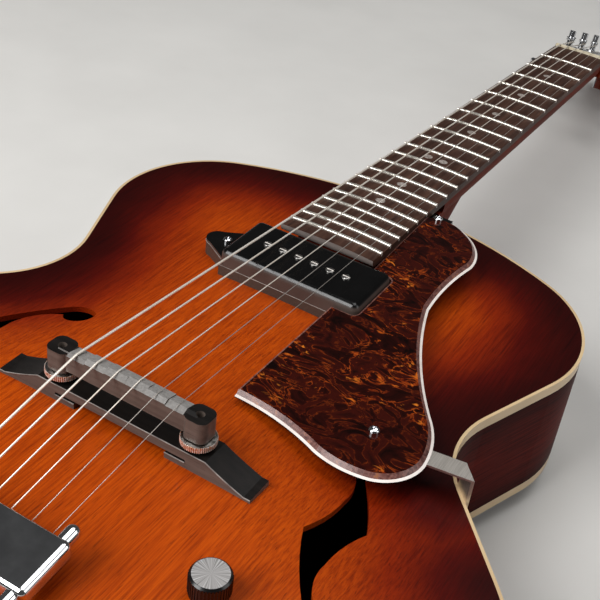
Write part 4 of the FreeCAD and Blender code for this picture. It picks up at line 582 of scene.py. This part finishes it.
spaced = add(tree, "ShaderNodeMapping", {"Vector": place, "Scale": per_mm(8, 0.4, 0.4)})
pores = add(tree, "ShaderNodeTexNoise", {"Vector": spaced, "Scale": 1.0, "Detail": 2.0})
brown = add(tree, "ShaderNodeValToRGB", {"Fac": bands}, [(0.3, "#544A44"), (0.7, "#695E57")])
black = add(tree, "ShaderNodeValToRGB", {"Fac": bands}, [(0.3, "#0F0D0C"), (0.7, "#1B1715")])
# Painted light: faces that look up are black and the rest a lighter brown-grey.
painted_top_and_sides = add(tree, "ShaderNodeMix", {MIX_SHARE: flat, MIX_UNDER: brown, MIX_OVER: black}, **colours)
filled = add(tree, "ShaderNodeMapRange",
             {"Value": pores, "From Min": 0.6, "From Max": 0.7, "To Max": 0.35}, **eased)
wood = add(tree, "ShaderNodeMix",
           {MIX_SHARE: filled, MIX_UNDER: painted_top_and_sides, MIX_OVER: linear("#0E0B0A")}, **colours)
spaced = add(tree, "ShaderNodeMapping", {"Vector": place, "Scale": per_mm(1.2, 1.2, 1.2)})
sheen_speckle = add(tree, "ShaderNodeTexNoise", {"Vector": spaced, "Scale": 1.0, "Detail": 3.0})
# Painted sheen: the sloped crest is mixed towards a pale grey.
painted_sheen = add(tree, "ShaderNodeValToRGB", {"Fac": sheen_speckle}, [(0.3, "#767370"), (0.7, "#8A8784")])
wood_and_painted_sheen = add(tree, "ShaderNodeMix", {MIX_SHARE: crest, MIX_UNDER: wood, MIX_OVER: painted_sheen}, **colours)
open_pores = add(tree, "ShaderNodeBump", {"Height": pores, "Distance": bridge_pore_depth, "Strength": 1.0})
feed(tree, shader, {"Base Color": wood_and_painted_sheen, "Normal": open_pores})
dress(dark_rosewood, "bridge_base", "bridge_saddle")

# A painted highlight: a pale bead along the base's tail-side upper corner stands in for light on that edge.
rosewood_painted_glint = mottled("painted_highlight_on_base_edge", (6, 6, 6), [(0.35, "#6B6460"), (0.65, "#948D88")], 0.4,
                          gloss=0.3)
base_bead = 0.3 * MM
faces_tail, faces_up = -0.9, 0.3
work = bmesh.new()
work.from_mesh(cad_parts["bridge_base"].data)
bmesh.ops.remove_doubles(work, verts=work.verts, dist=MERGE)
tail_side = {e for e in work.edges if len(e.link_faces) == 2
             and min(f.normal.y for f in e.link_faces) < faces_tail
             and max(f.normal.z for f in e.link_faces) > faces_up}
bmesh.ops.delete(work, geom=work.faces[:], context="FACES_ONLY")
bmesh.ops.delete(work, geom=[e for e in work.edges if e not in tail_side], context="EDGES")
path = bpy.data.meshes.new("base_edge")
work.to_mesh(path)
work.free()
base_edge = grown("base_edge", path, on_path, Radius=base_bead, Finish=rosewood_painted_glint)
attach(piece("bridge_base_edge", base_edge, rosewood_painted_glint), "guitar")

# Bridge wheels: turned brass, nickel plated, threaded on the studs to set the height of the strings.
# The plate is a soft grey with turning marks, and the knurled edge glints where it is worn to the brass.
plate_shades = [(0.3, "#A9A5A0"), (0.7, "#CFCBC5")]
knurl_shades = [(0.4, "#D9A888"), (0.6, "#F7EFE8")]


def extent(node):
    """The lowest and highest corner of a CAD node's box."""
    points = [vertex.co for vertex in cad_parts[node].data.vertices]
    return [Vector(bound(point[axis] for point in points) for axis in range(3)) for bound in (min, max)]


round_rim = bpy.data.node_groups.new("ridges_round_a_rim", "GeometryNodeTree")
given = take(round_rim, ("Place", "Vector"), ("Radius", "Float"), ("Height", "Float"), ("Ridge", "Float"),
             ("Count", "Int"), ("Finish", "Material"))
circle = add(round_rim, "GeometryNodeCurvePrimitiveCircle",
             {"Resolution": given["Count"], "Radius": given["Radius"]})
points = add(round_rim, "GeometryNodeCurveToPoints", {"Curve": circle}, mode="EVALUATED")
ridge = add(round_rim, "GeometryNodeMeshCylinder",
            {"Vertices": 6, "Radius": given["Ridge"], "Depth": given["Height"]})
stood = add(round_rim, "GeometryNodeInstanceOnPoints", {"Points": points, "Instance": ridge})
moved = add(round_rim, "GeometryNodeTransform", {"Geometry": stood, "Translation": given["Place"]})
give(round_rim, moved, given["Finish"])


def knurled(name, node, body, material, low, high, ridge, count):
    """Upright ridges round a turned node, between two heights in millimetres below its top."""
    floor, crown = extent(node)
    middle = (floor + crown) / 2
    middle.z = crown.z - (low + high) / 2 * MM
    mesh = grown(name, bpy.data.meshes.new(name), round_rim, Place=middle, Radius=(crown.x - floor.x) / 2,
                 Height=(high - low) * MM, Ridge=ridge * MM, Count=count, Finish=material)
    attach(piece(name, mesh, material), body)


nickel_plate = mottled("nickel_plated_brass", (2, 2, 0.2), plate_shades, (0.2, 0.36),
                       detail=2.0, metallic=1.0)
worn_knurl = mottled("worn_brass_knurl", (1.2, 1.2, 1.2), knurl_shades, 0.3, detail=2.0, metallic=0.5)
dress(nickel_plate, "bridge_studs", "thumbwheel_bass", "thumbwheel_treble")
for side in ("bass", "treble"):
    knurled(f"{side}_wheel_knurl", f"thumbwheel_{side}", f"wheel_{side}", worn_knurl,
            low=1.0, high=3.6, ridge=0.34, count=54)

# Tailpiece: a bent steel rod and a folded crossbar that holds the string ends, hooked on a bracket.
# Two screws and the strap button hold the bracket on the tail block, and all of it is chromed.
dress(chrome, "tailpiece_rod", "tailpiece_crossbar", "tailpiece_bracket", "tailpiece_screws")
dress(chrome, "strap_button")

# Pickguard: polished tortoise-pattern celluloid on a white and a black ply, held above the top by a strip.
# It shows amber strands and flecks deep in dark red-brown, crowded in some places.
# Its outer edge is sawn at a wide slant, where the plies show as a pale line under a dull pinkish cut.
tortoise, tree, shader, place = finish("tortoise_celluloid", 0.16, coat=0.05, gloss=0.2)
spaced = add(tree, "ShaderNodeMapping", {"Vector": place, "Scale": per_mm(40, 30, 36)})
clumps = add(tree, "ShaderNodeTexNoise", {"Vector": spaced, "Scale": 1.0, "Detail": 2.0, "Distortion": 0.8})
spaced = add(tree, "ShaderNodeMapping", {"Vector": place, "Scale": per_mm(21, 13, 17)})
flow = add(tree, "ShaderNodeTexNoise", {"Vector": spaced, "Scale": 1.0, "Detail": 5.0, "Distortion": 2.6})
spaced = add(tree, "ShaderNodeMapping", {"Vector": place, "Scale": per_mm(7.5, 4.6, 6)})
flecks = add(tree, "ShaderNodeTexNoise", {"Vector": spaced, "Scale": 1.0, "Detail": 3.0, "Distortion": 1.6})
crowded = add(tree, "ShaderNodeMapRange",
              {"Value": clumps, "From Min": 0.42, "From Max": 0.62, "To Min": 0.2}, **eased)
offset = add(tree, "ShaderNodeMath", {0: flow, 1: 0.5}, operation="SUBTRACT")
from_line = add(tree, "ShaderNodeMath", {0: offset}, operation="ABSOLUTE")
strand = add(tree, "ShaderNodeMapRange", {"Value": from_line, "From Min": 0.03, "From Max": 0.002}, **eased)
strands = add(tree, "ShaderNodeMath", {0: strand, 1: crowded}, operation="MULTIPLY")
ground = add(tree, "ShaderNodeValToRGB", {"Fac": flow},
             [(0.3, "#0E0302"), (0.48, "#280805"), (0.56, "#340C06"), (0.75, "#170504")])
amber = add(tree, "ShaderNodeValToRGB", {"Fac": flecks}, [(0.35, "#561506"), (0.65, "#A84814")])
drawn = add(tree, "ShaderNodeMix", {MIX_SHARE: strands, MIX_UNDER: ground, MIX_OVER: amber}, **colours)
bright = add(tree, "ShaderNodeMapRange", {"Value": flecks, "From Min": 0.58, "From Max": 0.7}, **eased)
dense = add(tree, "ShaderNodeMapRange", {"Value": crowded, "From Min": 0.55}, **eased)
fleck = add(tree, "ShaderNodeMath", {0: bright, 1: dense}, operation="MULTIPLY")
honey = add(tree, "ShaderNodeValToRGB", {"Fac": flow}, [(0.35, "#902C06"), (0.65, "#D87A26")])
marbled = add(tree, "ShaderNodeMix", {MIX_SHARE: fleck, MIX_UNDER: drawn, MIX_OVER: honey}, **colours)
feed(tree, shader, {"Base Color": marbled})
cut_shades = [(0.3, "#4A2824"), (0.6, "#80574F"), (0.75, "#A0663C")]
tortoise_cut = mottled("cut_tortoise_edge", (3.5, 3.5, 3.5), cut_shades, 0.3, distortion=1.6, gloss=0.4)
white_ply = mottled("white_celluloid_ply", (6, 6, 6), [(0.3, "#E2D6CE"), (0.7, "#F2E9E3")], 0.35, gloss=0.4)

SHARP_TURN = 0.2


def drawn_in(outline, widths):
    """An outline moved inwards, by a width of its own along each side."""
    moved = []
    for i, corner in enumerate(outline):
        sides = corner - outline[i - 1], outline[(i + 1) % len(outline)] - corner
        first, second = (Vector((-side.y, side.x)).normalized() for side in sides)
        skew = first.cross(second)
        shift = (first + second).normalized() * (widths[i - 1] + widths[i]) / 2
        if abs(skew) > SHARP_TURN:
            across = widths[i - 1] * second.y - widths[i] * first.y
            along = widths[i] * first.x - widths[i - 1] * second.x
            shift = Vector((across, along)) / skew
        moved.append(corner + shift)
    return moved


black_ply_height, white_ply_height = 0.6 * MM, 0.5 * MM
white_ply_slant, tortoise_slant = 1.3 * MM, 1.9 * MM
bevel_width, bevel_height = 0.8 * MM, 0.25 * MM
straight_from = 9 * MM
notch_radius, notch_closed_by, notch_steps = 4 * MM, 0.9 * MM, 6
guard_low, guard_high = (corner.z for corner in extent("pickguard"))
rim = [point.xy for point in rim_of("pickguard")]
if sum(first.cross(second) for first, second in zip(rim, rim[1:] + rim[:1])) < 0:
    rim.reverse()
runs = [after - before for before, after in zip(rim, rim[1:] + rim[:1])]
straight = [run.length > straight_from for run in runs]
border, slanted = [], []
for i, corner in enumerate(rim):
    if straight[i - 1] and straight[i] and runs[i - 1].cross(runs[i]) < 0:
        before, after = runs[i - 1].normalized(), runs[i].normalized()
        corner = corner - Vector((notch_closed_by, 0))
        for step in range(notch_steps + 1):
            turn = math.pi / 2 * step / notch_steps
            rounding = after * (1 - math.cos(turn)) - before * (1 - math.sin(turn))
            border.append(corner + notch_radius * rounding)
            slanted.append(False)
    else:
        border.append(corner)
        slanted.append(not straight[i])
pale = drawn_in(border, [white_ply_slant * wide for wide in slanted])
shoulder = drawn_in(pale, [(tortoise_slant - bevel_height) * wide for wide in slanted])
face = drawn_in(shoulder, [bevel_height if wide else bevel_width for wide in slanted])
black_top = guard_low + black_ply_height
levels = [(border, guard_low), (border, black_top), (pale, black_top + white_ply_height),
          (shoulder, guard_high - bevel_height), (face, guard_high)]
guard_plies = (tortoise, tortoise_cut, white_ply, black_plastic)
black_part, white_part, cut_part = 3, 2, 1
work = bmesh.new()
rings = [[work.verts.new((p.x, p.y, level)) for p in line] for line, level in levels]
for low, high, ply in zip(rings, rings[1:], (black_part, white_part, cut_part, cut_part)):
    for i in range(len(border)):
        work.faces.new((low[i - 1], low[i], high[i], high[i - 1])).material_index = ply
ends = [work.faces.new(rings[-1]), work.faces.new(rings[0][::-1])]
ends[1].material_index = black_part
work.normal_update()
bmesh.ops.triangulate(work, faces=ends)
guard_mesh = bpy.data.meshes.new("pickguard_plies")
work.to_mesh(guard_mesh)
work.free()
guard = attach(piece("pickguard_plies", guard_mesh, *guard_plies), "guitar")
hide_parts("pickguard")

# Brushed nickel: pale with a soft shine, its strokes drawn coarse enough to show.
satin_nickel = mottled("satin_nickel_strip", (0.3, 12, 12), [(0.3, "#D2CAC0"), (0.7, "#F0E9E0")], 0.42,
                       metallic=1.0)
dress(black_plastic, "pickguard_block")
dress(satin_nickel, "pickguard_bracket")
dress(chrome, "pickguard_screws")
guard_seats = [seat for seat in tops("pickguard_screws") if seat.z > guard_high]
capped("guard_screw_caps", guard_seats, chrome, radius=2.55, height=1.2, slot=0.7, arms=2)

# Controls: two pots of plain steel under the top carry a turned knob each, pressed on its shaft.
# A knob is a black skirt, ribbed for the fingers, under a face of spun aluminium that shines in rays.
dress(plain_steel, "control_pots")
face_radius, face_full, face_depth, face_top = 7.5 * MM, 7.3 * MM, -0.5 * MM, -0.3 * MM
ray_shades = [(0.3, "#A8A4A2"), (0.5, "#D2CECC"), (0.7, "#F6F4F3")]
rays_per_radian = 9.0


def spun_knob(node):
    """A black skirt whose top, inside a narrow rim, is aluminium brushed outwards from the middle."""
    floor, crown = extent(node)
    made, tree, shader, place = finish(f"spun_aluminium_{node}", 0.3)
    to_top = [-(floor.x + crown.x) / 2, -(floor.y + crown.y) / 2, -crown.z]
    from_top = add(tree, "ShaderNodeMapping", {"Vector": place, "Location": to_top})
    axes = add(tree, "ShaderNodeSeparateXYZ", {"Vector": from_top}).outputs
    squares = [add(tree, "ShaderNodeMath", {0: axes[axis], 1: 2.0}, operation="POWER") for axis in "XY"]
    total = add(tree, "ShaderNodeMath", {0: squares[0], 1: squares[1]}, operation="ADD")
    across = add(tree, "ShaderNodeMath", {0: total}, operation="SQRT")
    round_it = add(tree, "ShaderNodeMath", {0: axes["Y"], 1: axes["X"]}, operation="ARCTAN2")
    rays = add(tree, "ShaderNodeTexNoise", {"W": round_it, "Scale": rays_per_radian, "Detail": 5.0},
               noise_dimensions="1D")
    shine = add(tree, "ShaderNodeValToRGB", {"Fac": rays}, ray_shades)
    inside = add(tree, "ShaderNodeMapRange",
                 {"Value": across, "From Min": face_radius, "From Max": face_full}, **eased)
    upper = add(tree, "ShaderNodeMapRange",
                {"Value": axes["Z"], "From Min": face_depth, "From Max": face_top}, **eased)
    on_face = add(tree, "ShaderNodeMath", {0: inside, 1: upper}, operation="MULTIPLY")
    turned = add(tree, "ShaderNodeMix",
                 {MIX_SHARE: on_face, MIX_UNDER: linear("#0A0909"), MIX_OVER: shine}, **colours)
    rough = add(tree, "ShaderNodeMapRange", {"Value": on_face, "To Min": 0.25, "To Max": 0.46}, **eased)
    feed(tree, shader, {"Base Color": turned, "Roughness": rough, "Metallic": on_face})
    dress(made, node)


for name in ("volume", "tone"):
    spun_knob(f"{name}_knob")
    knurled(f"{name}_knob_ribs", f"{name}_knob", name, black_plastic,
            low=1.2, high=8.8, ridge=0.3, count=40)

# Output jack: a chromed brass socket set in the treble side and held by a nut from outside.
# It is the same clean mirror as the tuners.
dress(chrome, "output_jack")

# Strings: four wound with nickel wire and two of plain drawn steel, from the tailpiece to the tuner posts.
# The windings scatter light and look warm and pale, and the bare steel is thinner, greyer and sharper.
# Each is made in two lengths that meet on the saddle.
wound_wire = mottled("nickel_wound_wire", (3, 14, 3), [(0.3, "#F2E6D6"), (0.7, "#FFF9F0")], 0.42,
                     metallic=0.55)
string_steel = mottled("bright_string_steel", (3, 14, 3), [(0.3, "#A8A098"), (0.7, "#C4BCB4")], 0.34,
                       metallic=0.55)


def length_of(node, cut, beyond):
    """The part of a CAD string set on one side of an upright cut across it, closed at the cut."""
    work = bmesh.new()
    work.from_mesh(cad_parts[node].data)
    bmesh.ops.remove_doubles(work, verts=work.verts, dist=MERGE)
    parts = work.verts[:] + work.edges[:] + work.faces[:]
    sawn = bmesh.ops.bisect_plane(work, geom=parts, plane_co=(0, cut, 0), plane_no=(0, 1, 0),
                                  clear_inner=beyond, clear_outer=not beyond)["geom_cut"]
    bmesh.ops.edgeloop_fill(work, edges=[e for e in sawn if isinstance(e, bmesh.types.BMEdge)])
    bmesh.ops.recalc_face_normals(work, faces=work.faces)
    mesh = bpy.data.meshes.new(node)
    work.to_mesh(mesh)
    work.free()
    mesh.shade_smooth()
    mesh.set_sharp_from_angle(angle=math.radians(50))
    return mesh


saddle_y = sum(corner.y for corner in extent("bridge_saddle")) / 2
nut_y = extent("nut")[0].y
tail_y = extent("tailpiece_crossbar")[1].y
string_sets = (("wound_strings", wound_wire, "nickel_wire"), ("plain_strings", string_steel, "steel"))
for node, wire, slot_name in string_sets:
    speaking = piece(f"{node}_speaking", length_of(node, saddle_y, beyond=True), wire)
    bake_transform(speaking)
    behind = piece(f"{node}_behind_bridge", length_of(node, saddle_y, beyond=False), wire)
    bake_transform(behind)
    for length in (speaking, behind):
        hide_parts(node)

# Stage: a plain pale floor under the back, matt and faintly clouded like painted board.
# Soft boxes stand around it, and the camera looks along the strings from above the tail's treble side.
floor_mesh = bpy.data.meshes.new("studio_floor")
reach = 6.0
corners = [(-reach, -reach, 0.0), (reach, -reach, 0.0), (reach, reach, 0.0), (-reach, reach, 0.0)]
floor_mesh.from_pydata(corners, [], [(0, 1, 2, 3)])
floor = bpy.data.objects.new("studio_floor", floor_mesh)
bpy.context.scene.collection.objects.link(floor)
pale_floor = mottled("pale_floor", (90, 90, 90), [(0.3, "#D6D4D0"), (0.7, "#DCDAD6")], 0.7, gloss=0.2)
floor_mesh.materials.append(pale_floor)

world = bpy.data.worlds.new("studio")
bpy.context.scene.world = world
world.use_nodes = True
feed(world.node_tree, world.node_tree.nodes["Background"], {"Color": linear("#F2F2F2"), "Strength": 0.07})


def soft_box(name, at, towards, width, depth, watts):
    """A rectangular soft light that faces a point."""
    light = bpy.data.lights.new(name, "AREA")
    light.shape = "RECTANGLE"
    light.size, light.size_y, light.energy = width, depth, watts
    lamp = bpy.data.objects.new(name, light)
    bpy.context.scene.collection.objects.link(lamp)
    lamp.location = at
    lamp.rotation_euler = (Vector(towards) - Vector(at)).to_track_quat("-Z", "Y").to_euler()


soft_box("key", (-0.7, -1.5, 1.5), (0.0, -0.2, 0.1), width=1.1, depth=1.5, watts=48)
soft_box("overhead", (0.3, 0.2, 2.1), (0.0, -0.1, 0.1), width=1.4, depth=1.4, watts=17)
soft_box("fill", (1.5, 0.3, 0.9), (0.0, -0.1, 0.1), width=1.0, depth=1.0, watts=6)

camera = bpy.data.objects.new("camera", bpy.data.cameras.new("camera"))
bpy.context.scene.collection.objects.link(camera)
camera.data.sensor_width = 36.0
camera.data.lens = 65.51
camera.data.clip_start = 0.01
camera_place = (0.22193, -0.56676, 0.43771)
right = (0.8522, 0.51185, 0.10843)
down = (0.37468, -0.45237, -0.8093)
forward = (-0.36519, 0.73032, -0.5773)
turn = Matrix((right, [-c for c in down], [-c for c in forward])).transposed().to_4x4()
camera.matrix_world = Matrix.Translation(camera_place) @ turn
bpy.context.scene.camera = camera
bpy.context.scene.view_settings.view_transform = "Standard"
